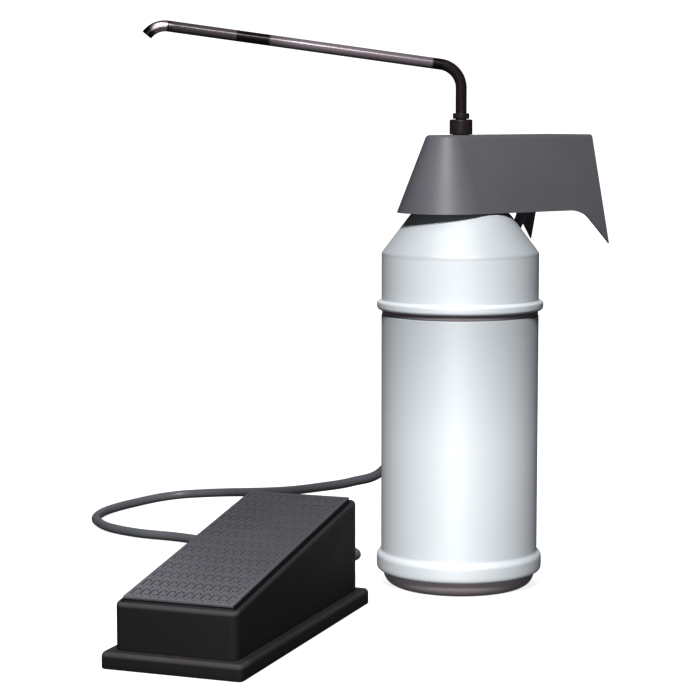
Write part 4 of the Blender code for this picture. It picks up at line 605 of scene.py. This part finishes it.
# the cap's: a shallow dish with the seat for the body, a rounded side and a standing rim underneath
cap = dict(
    profile=inMm((0.0, 3.0), (41.0, 3.0), (41.0, 8.6), (43.8, 8.6), (43.2, 4.6), (41.2, 1.6),
                 (38.2, 0.0), (33.0, 0.0), (31.8, 1.1), (12.0, 1.1), (11.0, 0.5), (0.0, 0.5)),
    edges=inMm(0, 0.5, 0.5, 0.6, 1.6, 1.8, 1.2, 0.7, 0.7, 0.5, 0.5, 0), steps=6, segments=160)
seal = dict(outer=44.7, inner=43.0, foot=156.8, top=159.3, edge=0.35, segments=160)
lug = sized(halfX=2.0, halfY=3.4, corner=0.7, height=2.5, edge=0.4, reach=13.25, foot=221.5)


def turnedShape(profile, edges, steps, segments, closed=False):
    # a profile with its corners softened by its edges, turned about Z
    return turned(softened(profile, edges, steps, closed), segments)


def ringGrid(outer, inner, foot, top, edge, segments):
    # a flat ring whose four edges are rounded; its sizes are in millimetres
    corners = inMm((outer, top), (outer, foot), (inner, foot), (inner, top))
    return turnedShape(corners, edge * mm, 5, segments, closed=True)


def lugGrid(side):
    # a bayonet lug: a rounded block that stands out of the neck on one side
    edge, height = lug["edge"], lug["height"]
    levels = [(middle, 0), (edge, 0), (0, edge), (0, height - edge), (edge, height), (middle, height)]
    block = stacked(lug["halfX"], lug["halfY"], lug["corner"], levels)
    return block + np.array([side * lug["reach"], 0.0, lug["foot"]])


makePiece("containerBody", [turnedShape(**canister)], containerWhite, "container_body", "container")
makePiece("containerShoulder", [turnedShape(**shoulder), lugGrid(-1), lugGrid(1)], containerWhite,
          "container_shoulder", "container")
# the seal's dark band is part rubber seal and part painted shadow under the bead
makePiece("containerSeal", [ringGrid(**seal)], darkSealAndShade, "container_seal", "container")
makePiece("containerBaseCap", [turnedShape(**cap)], capRubber, "container_base_cap", "container")
print("stage 5: container made")


cover = sized(top=258.8, rim=215.1, tip=195.3, wall=87.3, noseForward=10.4, noseRadius=11.8, halfWidth=18.2,
              sheet=1.0, notchStart=60.6, notchEnd=72.5, notchDrop=3.3, edge=1.6, leastEdge=0.4)
cover |= dict(noseFlare=0.381, wallFlare=0.236, sidePoints=44, nosePoints=41, topShares=(0.0, 0.35, 0.7, 0.9),
              edgeRows=7, wallRows=26)


def coverPlan(drop, inset):
    # straight wall, round nose, straight wall, drawn in by inset; both widths grow with the drop below the
    # top, which is one number or one for each point
    side, nose = cover["sidePoints"], cover["nosePoints"]
    radius = cover["noseRadius"] + cover["noseFlare"] * drop - inset
    half = cover["halfWidth"] + cover["wallFlare"] * drop - inset
    length = cover["wall"] + cover["noseForward"]
    lean = np.arctan2(half, length) - np.arcsin(radius / np.hypot(half, length))
    share = np.concatenate([np.zeros(side), np.linspace(0, 1, nose)[1:-1], np.ones(side)])
    angle = math.pi + lean + share * (math.pi - 2 * lean)
    x, y = radius * np.cos(angle), radius * np.sin(angle) - cover["noseForward"]
    run = np.concatenate([1 - np.linspace(0, 1, side), np.zeros(nose - 2), np.linspace(0, 1, side)])
    sign = np.concatenate([-np.ones(side), np.zeros(nose - 2), np.ones(side)])
    return np.column_stack([x * (1 - run) + sign * half * run, y * (1 - run) + cover["wall"] * run])


def coverFoot(y):
    # height of the sheet's lower edge: level rim, an arc, then a slant down to the tip at the wall
    c = cover
    run = c["notchEnd"] - c["notchStart"]
    radius = (run**2 + c["notchDrop"] ** 2) / (2 * c["notchDrop"])
    arc = c["rim"] - radius + np.sqrt(radius**2 - np.clip(y - c["notchStart"], 0, run) ** 2)
    notch = c["rim"] - c["notchDrop"]
    slant = notch - (y - c["notchEnd"]) * (notch - c["tip"]) / (c["wall"] - c["notchEnd"])
    return np.where(y > c["notchEnd"], slant, arc)


def coverShell(inset):
    # rows run from the top's middle out over the rounded edge and down the flared wall to its foot
    edge = max(cover["edge"] - inset, cover["leastEdge"])
    top = cover["top"] - inset
    rows = []
    flat = coverPlan(0.0, inset + edge)
    for share in cover["topShares"]:
        rows.append(np.column_stack([flat[:, 0] * share, flat[:, 1], 0 * flat[:, 0] + top]))
    for angle in np.linspace(0, math.pi / 2, cover["edgeRows"]):
        drop = edge * (1 - math.cos(angle))
        plan = coverPlan(drop, inset + edge * (1 - math.sin(angle)))
        rows.append(np.column_stack([plan, 0 * plan[:, 0] + top - drop]))
    foot = coverFoot(coverPlan(edge, inset)[:, 1])
    for share in np.linspace(0, 1, cover["wallRows"])[1:]:  # each line of the wall ends on the foot's curve
        height = (top - edge) * (1 - share) + foot * share
        rows.append(np.column_stack([coverPlan(cover["top"] - height, inset), height]))
    return np.stack(rows)


def makeCover():
    # two skins, joined along the foot and along both rear edges
    outer, inner = coverShell(0.0), coverShell(cover["sheet"])
    joins = [np.stack([outer[-1], inner[-1]]), *[np.stack([outer[:, k], inner[:, k]]) for k in (0, -1)]]
    makePiece("coverSheet", [outer, inner, *joins], sheetGrey, "shroud", sharpDeg=40.0, around=False)


makeCover()
print("stage 6: cover made")


nut = dict(
    profile=inMm((6.5, 267.6), (6.5, 259.1), (5.0, 259.1), (5.0, 265.8), (3.45, 265.8), (3.45, 267.6)),
    edges=inMm(1.0, 0.5, 0.2, 0.2, 0.2, 0.2), steps=6, segments=96, closed=True)
collar = dict(outer=4.7, inner=3.45, foot=267.9, top=271.1, edge=0.45, segments=96)
gasket = dict(outer=14.0, inner=11.5, foot=226.6, top=228.7, edge=0.3, segments=96)
makePiece("lockNut", [turnedShape(**nut)], collarBlack, "lock_nut")
makePiece("spoutCollar", [ringGrid(**collar)], collarBlack, "spout_collar", "spout")
makePiece("neckGasket", [ringGrid(**gasket)], gasketRubber, "neck_gasket")

spout = sized(radius=3.15, bore=2.4, foot=250.3, corner=297.2, reach=178.0, elbow=13.5, tip=13.3)
spout |= dict(riseDeg=7.9, dropDeg=51.9, swingDeg=-39.2, riserPoints=12, elbowPoints=22, armPoints=60,
              tipPoints=16)


def arcPoints(centre, radius, firstDeg, lastDeg, count):
    # centre + radius * (cos, sin)
    angle = np.radians(np.linspace(firstDeg, lastDeg, count))
    return np.column_stack([centre[0] + radius * np.cos(angle), centre[1] + radius * np.sin(angle)])


def spoutPath():
    # up from the head, round the elbow, along the rising arm and over the bend at the outlet
    s = spout
    rise, drop = math.radians(s["riseDeg"]), math.radians(s["dropDeg"])
    tangent = s["elbow"] * math.tan((math.pi / 2 - rise) / 2)
    elbow = arcPoints((s["elbow"], s["corner"] - tangent), s["elbow"], 180, 90 + s["riseDeg"],
                      s["elbowPoints"])
    seamReach = s["reach"] - s["tip"] * (math.sin(rise) + math.sin(drop))
    seamHeight = s["corner"] + seamReach * math.tan(rise)
    centre = (seamReach + s["tip"] * math.sin(rise), seamHeight - s["tip"] * math.cos(rise))
    tip = arcPoints(centre, s["tip"], 90 + s["riseDeg"], 90 - s["dropDeg"], s["tipPoints"])
    riser = np.linspace((0.0, s["foot"]), (0.0, elbow[0, 1]), s["riserPoints"], endpoint=False)
    share = np.linspace(0, 1, s["armPoints"])[1:-1, None]
    flat = np.concatenate([riser, elbow, elbow[-1] * (1 - share) + tip[0] * share, tip])
    flat[:, 1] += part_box("spout_tube")[1][2] - s["radius"] - flat[:, 1].max()  # as high as the CAD's tube
    path = np.column_stack([np.zeros(len(flat)), -flat[:, 0], flat[:, 1]])
    return turnedFlat(path, s["swingDeg"])


sideways = turnedFlat(np.array([1.0, 0.0, 0.0]), spout["swingDeg"])
makeTube("spoutTube", spoutPath(), spout["radius"], 40, spoutChrome, "spout_tube", "spout", spout["bore"],
         sideways)


def dressedCopy(name, node, finish, edge, body="root"):
    # a copy of a node's mesh, its flats joined again and its edges rounded
    sharpDeg = 30.0
    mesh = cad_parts[node].data.copy()
    mesh.name = name
    piece = addPiece(name, closeSeams(mesh, sharpDeg, 2e-6, flatDeg=1.0), finish, node, body)
    if edge:
        bevel = piece.modifiers.new("edges", "BEVEL")
        bevel.width, bevel.segments, bevel.limit_method = edge, 2, "ANGLE"
        bevel.angle_limit = math.radians(sharpDeg)
        bevel.use_clamp_overlap = True


dressedCopy("wallBracket", "wall_bracket", bracketSteel, 0.4 * mm)
dressedCopy("valveHead", "valve_head", headBlack, 0.25 * mm)
dressedCopy("airFitting", "head_air_fitting", turnedBrass, 0.0)
print("stage 7: head and spout made")


# base levels: underside, a small foot chamfer, the upright edge and a broad round-over to the top
base = sized(halfX=37.97, halfY=89.97, corner=2.8)
base |= dict(levels=inMm((middle, 0.2), (3.0, 0.2), (0.8, 0.2), (0.2, 0.5), (0.0, 1.0), (0.0, 3.2),
                         *roundOver(0.0, 6.2, 2.0, 8.8, 9), (4.4, 8.8), (middle, 8.8)))
# the housing's rim lies the stand below the tread's plane, and its rounding is rimInset by rimDrop
housing = sized(halfX=32.75, halfY=84.2, corner=3.9, foot=9.1, lip=2.4, wall=2.05, stand=2.6, rimInset=1.7,
                rimDrop=2.2, rimMark=100.0)
tread = sized(halfX=29.55, corner=0.8, front=-81.0, rear=80.0, frontHeight=35.6, thickness=1.6)
tread |= dict(slopeDeg=9.05)
slope = math.tan(math.radians(tread["slopeDeg"]))
matLength = (tread["rear"] - tread["front"]) / math.cos(math.radians(tread["slopeDeg"]))


def treadHeight(y):
    # the tread's plane: its front height + distance from the front * slope
    return tread["frontHeight"] + (y - tread["front"]) * slope


def pedalSkin():
    # black plastic with painted highlights along the rim's rounding and the flange's edge, brightest at the
    # front
    finish = Finish("pedalBlack", "pedal_black", Specular_IOR_Level=0.06)
    cos, sin = math.cos(math.radians(pedal["turnDeg"])), math.sin(math.radians(pedal["turnDeg"]))
    along = (finish.axis("Y") - pedal["y"]) * cos - (finish.axis("X") - pedal["x"]) * sin
    drop = along * slope + (treadHeight(0.0) - housing["stand"]) - finish.axis("Z")  # below the sloping rim
    # painted highlight on the housing's rounded rim, found by its drop below the sloping rim
    rim = finish.ramp(drop * 200.0 + 0.1, (0.04, 0.0), (0.10, 1.0), (0.30, 1.0), (0.56, 0.0))
    flangeHighlight = finish.ramp(finish.axis("Z") * 100.0, (0.60, 0.0), (0.72, 1.0), (0.85, 1.0), (0.875, 0.4),
                         (0.89, 0.4), (0.90, 0.0))
    # the painted highlights are brightest towards the front, where the light falls
    front = finish.ramp((-0.076 - along) * 100.0, (0.2, 0.36), (0.5, 1.0))
    paintedHighlight = finish.maths("MAXIMUM", rim, flangeHighlight) * front * (finish.noise(40.0, 3.0) * 0.6 + 0.62)
    marks = finish.noise(60.0, 4.0)
    finish.surface(paintedHighlight, (0.0150, 0.0137, 0.0146), (0.045, 0.042, 0.045), 0.58, marks, 0.14)
    finish.bump(finish.noise(1400.0, 2.0), 0.35, 0.05)
    return finish


def housingHeight(outline, level):
    # low levels are true heights; the rimMark stands for the sloping rim, and high levels count from it
    rim = treadHeight(outline[:, 1]) - housing["stand"]
    return level + 0 * rim if level < housing["rimMark"] / 2 else rim + (level - housing["rimMark"])


def makeShells():
    # the base, and the housing: foot, upright side, rounded rim and back down the inside
    b, h = base, housing
    grid = pedalToRoom(stacked(b["halfX"], b["halfY"], b["corner"], b["levels"], steps=10))
    makePiece("pedalBase", [grid], pedalBlack, "pedal_base", sharpDeg=40.0)
    foot, rim, wall, lip = h["foot"], h["rimMark"], h["wall"], h["lip"]
    levels = [(lip, foot), (0.0, foot), (0.0, foot + 2 * mm), (0.0, foot + 6 * mm),
              *roundOver(0.0, rim - h["rimDrop"], h["rimInset"], rim, 10), (wall, rim - 0.3 * mm),
              (wall, rim - 4 * mm), (wall, rim - 10 * mm), (wall, foot + 4 * mm), (lip, foot)]
    grid = pedalToRoom(stacked(h["halfX"], h["halfY"], h["corner"], levels, housingHeight, 10))
    makePiece("pedalHousing", [grid], pedalBlack, "pedal_housing", sharpDeg=40.0)


def onTread(grid):
    # points made flat, with y up the slope from its front edge, are laid on the tread's slope
    tilt = math.radians(tread["slopeDeg"])
    x, y, z = grid[..., 0], grid[..., 1], grid[..., 2]
    laid = np.stack([x, tread["front"] + y * math.cos(tilt) - z * math.sin(tilt),
                     tread["frontHeight"] + y * math.sin(tilt) + z * math.cos(tilt)], axis=-1)
    return pedalToRoom(laid)


marks = sized(radius=1.4, foot=-3.7, bend=2.1, hook=0.7, ridge=0.38, proud=0.22, margin=1.6)
marks |= dict(across=12, rows=13, hookWidths=[0.05, 1.8, *[1.0] * 6, 0.05], studWidths=[0.05, 1.7, 0.05])


def makeMat():
    # a thin rubber plate with rounded edges, its top a little below the marks
    half = matLength / 2
    low = inMm((middle, 0.0), (2.0, 0.0), (0.5, 0.0), (0.06, 0.06), (0.0, 0.2))
    high = inMm((0.0, -0.22), (0.07, -0.07), (0.25, 0.0), (1.2, 0.0), (middle, 0.0))
    levels = np.concatenate([low - [0.0, tread["thickness"]], high - [0.0, marks["proud"]]])
    grid = stacked(tread["halfX"], half, tread["corner"], levels) + np.array([0.0, half, 0.0])
    makePiece("treadMat", [onTread(grid)], matGrey, "tread_mat", "treadle", 40.0)


def ridgeAlong(line, widths):
    # a low ridge of trapezoid section, its width given at each point of a flat line
    ahead = np.gradient(line, axis=0)
    outward = np.column_stack([-ahead[:, 1], ahead[:, 0]]) / np.linalg.norm(ahead, axis=1)[:, None]
    section = np.array([[-1.0, -0.2], [-0.45, 1.0], [0.45, 1.0], [1.0, -0.2]])
    reach = (marks["ridge"] * np.array(widths))[:, None, None]
    flat = line[:, None] + outward[:, None] * section[None, :, :1] * reach
    high = np.broadcast_to(section[None, :, 1:] * marks["proud"] - marks["proud"], (len(line), 4, 1))
    return np.concatenate([flat, high], axis=-1)


def makeMarks():
    # each mark is a long hook, with a stud where a second leg would end and one between the rows
    radius, foot, bend, hook = marks["radius"], marks["foot"], marks["bend"], marks["hook"]
    turn = np.radians(np.linspace(180, 0, 6))
    arc = radius * np.column_stack([np.cos(turn), np.sin(turn)]) + np.array([0.0, bend])
    line = np.concatenate([[(-radius, foot), (-radius, foot + 0.3 * mm)], arc, [(radius, hook)]])
    stud = np.array([(radius, foot + step * mm) for step in (0.2, 0.8, 1.4)])
    shapes = [ridgeAlong(line, marks["hookWidths"]), ridgeAlong(stud, marks["studWidths"]),
              ridgeAlong(stud - np.array([0.4 * radius, 2.7 * mm]), marks["studWidths"])]
    stepX = 2 * (tread["halfX"] - marks["margin"]) / marks["across"]
    stepY = (matLength - 2 * marks["margin"]) / marks["rows"]
    i, j = np.meshgrid(np.arange(marks["across"]), np.arange(marks["rows"]), indexing="ij")
    x = (i + 0.5 - marks["across"] / 2) * stepX
    y = marks["margin"] + (j + 0.5) * stepY
    centres = np.stack([x, y, 0 * x], axis=-1).reshape(-1, 1, 1, 3)
    grids = [one for shape in shapes for one in onTread(centres + shape[None])]
    makePiece("treadMarks", grids, markGrey, None, "treadle", 60.0, distance=1e-7)


pedalBlack = pedalSkin()
makeShells()
makeMat()
makeMarks()
dressedCopy("treadlePlate", "treadle", pedalBlack, 0.25 * mm, "treadle")
print("stage 8: pedal shells made")


bellows = sized(y=30.0, foot=15.2, top=43.5, crest=23.4, fold=3.8, wall=1.1, edges=1.3)
bellows |= dict(steps=11, keep=0.66)


def makeBellows():
    # crests and roots in turn down to the foot, then back up the inside, both closed at the top
    b = bellows
    step = np.arange(b["steps"])
    radius = b["crest"] - b["fold"] * (step % 2 == 0)
    height = b["top"] - (b["top"] - b["foot"]) * step / (b["steps"] - 1)
    outer = np.column_stack([radius, height])
    inner = outer[::-1] - np.array([b["wall"], 0.0])
    inner[-1, 1] -= b["wall"]
    points = np.concatenate([[(0.0, b["top"])], outer, inner, [(0.0, b["top"] - b["wall"])]])
    grid = pedalToRoom(turnedShape(points, b["edges"], 6, 96), 0.0, b["y"])
    piece = makePiece("pumpBellows", [grid], gasketRubber, "pump_bellows")
    anchor = pedalToRoom(np.array([0.0, b["y"], b["foot"]]))
    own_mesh(piece)


spring = sized(y=-15.0, coil=7.7, wire=0.85, foot=9.8, top=37.1)
spring |= dict(turns=6.5, flat=0.08, points=260, keep=0.81)


def makeSpring():
    # coil * (cos, sin), rising evenly apart from the flat share of it at either end
    s = spring
    share = np.linspace(0, 1, s["points"])
    level = np.clip((share - s["flat"]) / (1 - 2 * s["flat"]), 0, 1)
    angle = share * s["turns"] * math.tau
    path = np.column_stack([s["coil"] * np.cos(angle), s["coil"] * np.sin(angle),
                            s["foot"] + (s["top"] - s["foot"]) * level])
    path = pedalToRoom(path, 0.0, s["y"])
    piece = makeTube("treadleSpring", path, s["wire"], 12, brightSteel, "treadle_spring")
    anchor = pedalToRoom(np.array([0.0, s["y"], s["foot"] - s["wire"]]))
    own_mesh(piece)


def fourCorners(x, y):
    # numbers from 1 and places, for four small parts alike
    return enumerate([(side * x, end * y) for end in (-1, 1) for side in (-1, 1)], 1)


padPlace = sized(x=24.0, y=60.0)
pad = dict(profile=inMm((0.0, 2.3), (5.95, 2.3), (5.95, 0.0), (4.4, 0.0), (4.1, 0.45), (3.2, 0.45),
                        (2.9, 0.0), (0.0, 0.0)),
           edges=inMm(0, 0.3, 0.5, 0.2, 0.2, 0.2, 0.2, 0), steps=5, segments=48)


def makePads():
    # a soft disc with a ring groove in the face that stands on the floor
    grid = turnedShape(**pad)
    for number, place in fourCorners(**padPlace):
        makePiece(f"footPad{number}", [pedalToRoom(grid, *place)], padRubber, f"foot_pad_{number}")


screw = sized(x=27.0, y=78.45, mouth=1.1, floor=2.0, armLength=1.5, armWidth=0.36, headRadius=2.8,
              headTop=2.9, threadFoot=3.3, threadTop=13.9, core=0.9, crest=1.2, tip=14.9, tipRadius=0.4)
screw |= dict(ridges=27, turnDeg=23.0)


def crossOutline(angle):
    # the edge of a cross: an arm's end or an arm's side, whichever a ray from the middle meets first
    big = np.maximum(np.abs(np.cos(angle)), np.abs(np.sin(angle)))
    small = np.minimum(np.abs(np.cos(angle)), np.abs(np.sin(angle)))
    return np.minimum(screw["armLength"] / big, screw["armWidth"] / np.maximum(small, 1e-6))


def makeScrews():
    # rings of radius and height: the cross recess, the head's rounded disc, the thread's ridges and the tip
    s = screw
    angle = np.arange(64) * math.tau / 64
    cross, wide, top = crossOutline(angle), s["headRadius"], s["headTop"]
    ridges = np.linspace(s["threadFoot"], s["threadTop"], s["ridges"])
    radii = np.where(np.arange(s["ridges"]) % 2, s["crest"], s["core"])
    rings = [(0, s["floor"]), (0.75 * cross, s["floor"]), (cross, s["mouth"]),
             (wide - 0.7 * mm, s["mouth"]), (wide - 0.2 * mm, s["mouth"] + 0.2 * mm),
             (wide, s["mouth"] + 0.6 * mm), (wide, top - 0.2 * mm), (wide - 0.2 * mm, top),
             (s["core"], top), *zip(radii, ridges), (s["tipRadius"], s["tip"] - 0.1 * mm), (0, s["tip"])]
    grid = np.stack([np.column_stack([r * np.cos(angle), r * np.sin(angle), height + 0 * angle])
                     for r, height in rings])
    for number, place in fourCorners(s["x"], s["y"]):
        turnedScrew = pedalToRoom(turnedFlat(grid, s["turnDeg"] * number), *place)
        makePiece(f"baseScrew{number}", [turnedScrew], brightSteel, f"base_screw_{number}")


# an umbrella: thin domed lip, stem and the bulb that holds it
intake = dict(
    profile=inMm((0.0, 19.35), (2.6, 19.25), (5.9, 18.5), (5.9, 18.25), (5.3, 18.35), (1.3, 18.6),
                 (1.12, 17.6), (1.12, 15.9), (0.85, 15.5), (1.15, 15.1), (0.7, 14.72), (0.0, 14.72)),
    edges=0.25 * mm, steps=5, segments=48)
airTube = sized(radius=2.3, bore=1.4, reach=27.8, height=12.0, lead=6.0) | dict(turnDeg=24.0)
airTube |= dict(end=inMm(16.0, 75.4, 21.0), points=48)


def makeAirWay():
    # the intake valve in the bellows seat, and the tube from the seat's nozzle round to the gland
    valve = pedalToRoom(turnedShape(**intake), 0.0, bellows["y"])
    makePiece("intakeValve", [valve], gasketRubber, "intake_valve")
    t = airTube
    turn = math.radians(t["turnDeg"])
    away = np.array([math.sin(turn), math.cos(turn), 0.0])
    start = np.array([0.0, bellows["y"], t["height"]]) + away * t["reach"]
    points = np.array([start, start + away * t["lead"], t["end"] - [0.0, t["lead"], 0.0], t["end"]])
    path, _ = evenPath(pedalToRoom(points), t["points"])
    makeTube("pedalAirTube", path, t["radius"], 20, tubeGrey, "pedal_air_tube", bore=t["bore"])


ferruleStart = 6.5 * mm  # its distance along the arm
ferrule = dict(
    profile=inMm((4.15, 0.0), (4.15, 1.5), (3.8, 1.9), (3.8, 2.8), (4.15, 3.2), (4.15, 5.3), (3.8, 5.7),
                 (3.8, 6.6), (4.15, 7.0), (4.15, 9.0), (2.45, 9.0), (2.45, 0.0)),
    edges=0.3 * mm, steps=5, segments=48, closed=True)
# the bill has half widths in x and y, and heights: a round neck that narrows to a slit
bill = dict(
    profile=inMm((0.0, 0.0, 232.2), (1.15, 1.15, 232.1), (1.15, 1.15, 229.0), (2.3, 2.3, 228.65),
                 (2.35, 2.35, 227.5), (2.0, 2.0, 227.1), (2.0, 1.8, 225.6), (2.05, 0.9, 222.6),
                 (2.1, 0.34, 220.7), (0.0, 0.0, 220.65)),
    edges=0.4 * mm, steps=5, segments=48)
billY = 8.0 * mm
oRing = sized(radius=4.175, height=252.0, section=0.7, partingLine=0.03)
dipTube = dict(outer=3.0, inner=2.0, foot=10.0, top=234.6, edge=0.35, segments=48)
ball = sized(radius=2.97, height=240.67) | dict(seamDeg=4)


def makeFerrule():
    # a twice crimped sleeve, laid along the arm: arm point + x * level + y * across + z * arm's way
    level = np.cross([0.0, 0.0, 1.0], armWay)
    level /= np.linalg.norm(level)
    axes = np.stack([level, np.cross(armWay, level), armWay])
    laid = armPoint(ferruleStart) + turnedShape(**ferrule) @ axes
    makePiece("hoseFerrule", [laid], brightSteel, "head_hose_ferrule")


def makeHeadSmalls():
    # duckbill valve of oval rings, O-ring with its parting line, dip tube, and the ball with its seam
    valve = turnedShape(**bill) + np.array([0.0, billY, 0.0])
    makePiece("airCheckValve", [valve], gasketRubber, "air_check_valve")
    section = arcPoints((oRing["radius"], oRing["height"]), oRing["section"], 0, 360, 25)
    section[[0, -1], 0] += oRing["partingLine"]
    makePiece("spoutRing", [turned(section, 96)], gasketRubber, "spout_o_ring")
    makePiece("dipTube", [ringGrid(**dipTube)], milkyPlastic, "dip_tube")
    halves = [arcPoints((0.0, ball["height"]), ball["radius"], first, last, 18)
              for first, last in ((-90, -ball["seamDeg"]), (ball["seamDeg"], 90))]
    makePiece("outletBall", [turned(np.concatenate(halves), 64)], brightSteel, "outlet_ball", "outlet_ball")


makeBellows()
makeSpring()
makePads()
makeScrews()
makeAirWay()
makeFerrule()
makeHeadSmalls()
for name, node, finish in (
        ("bellowsSeat", "bellows_seat", headBlack), ("hingePin", "hinge_pin", darkSteel),
        ("intakeStrainer", "intake_strainer", milkyPlastic), ("hoseGland", "hose_gland", pedalBlack),
        ("glandNut", "gland_nut", turnedBrass)):
    dressedCopy(name, node, finish, 0.2 * mm)
print("stage 9: small parts made")
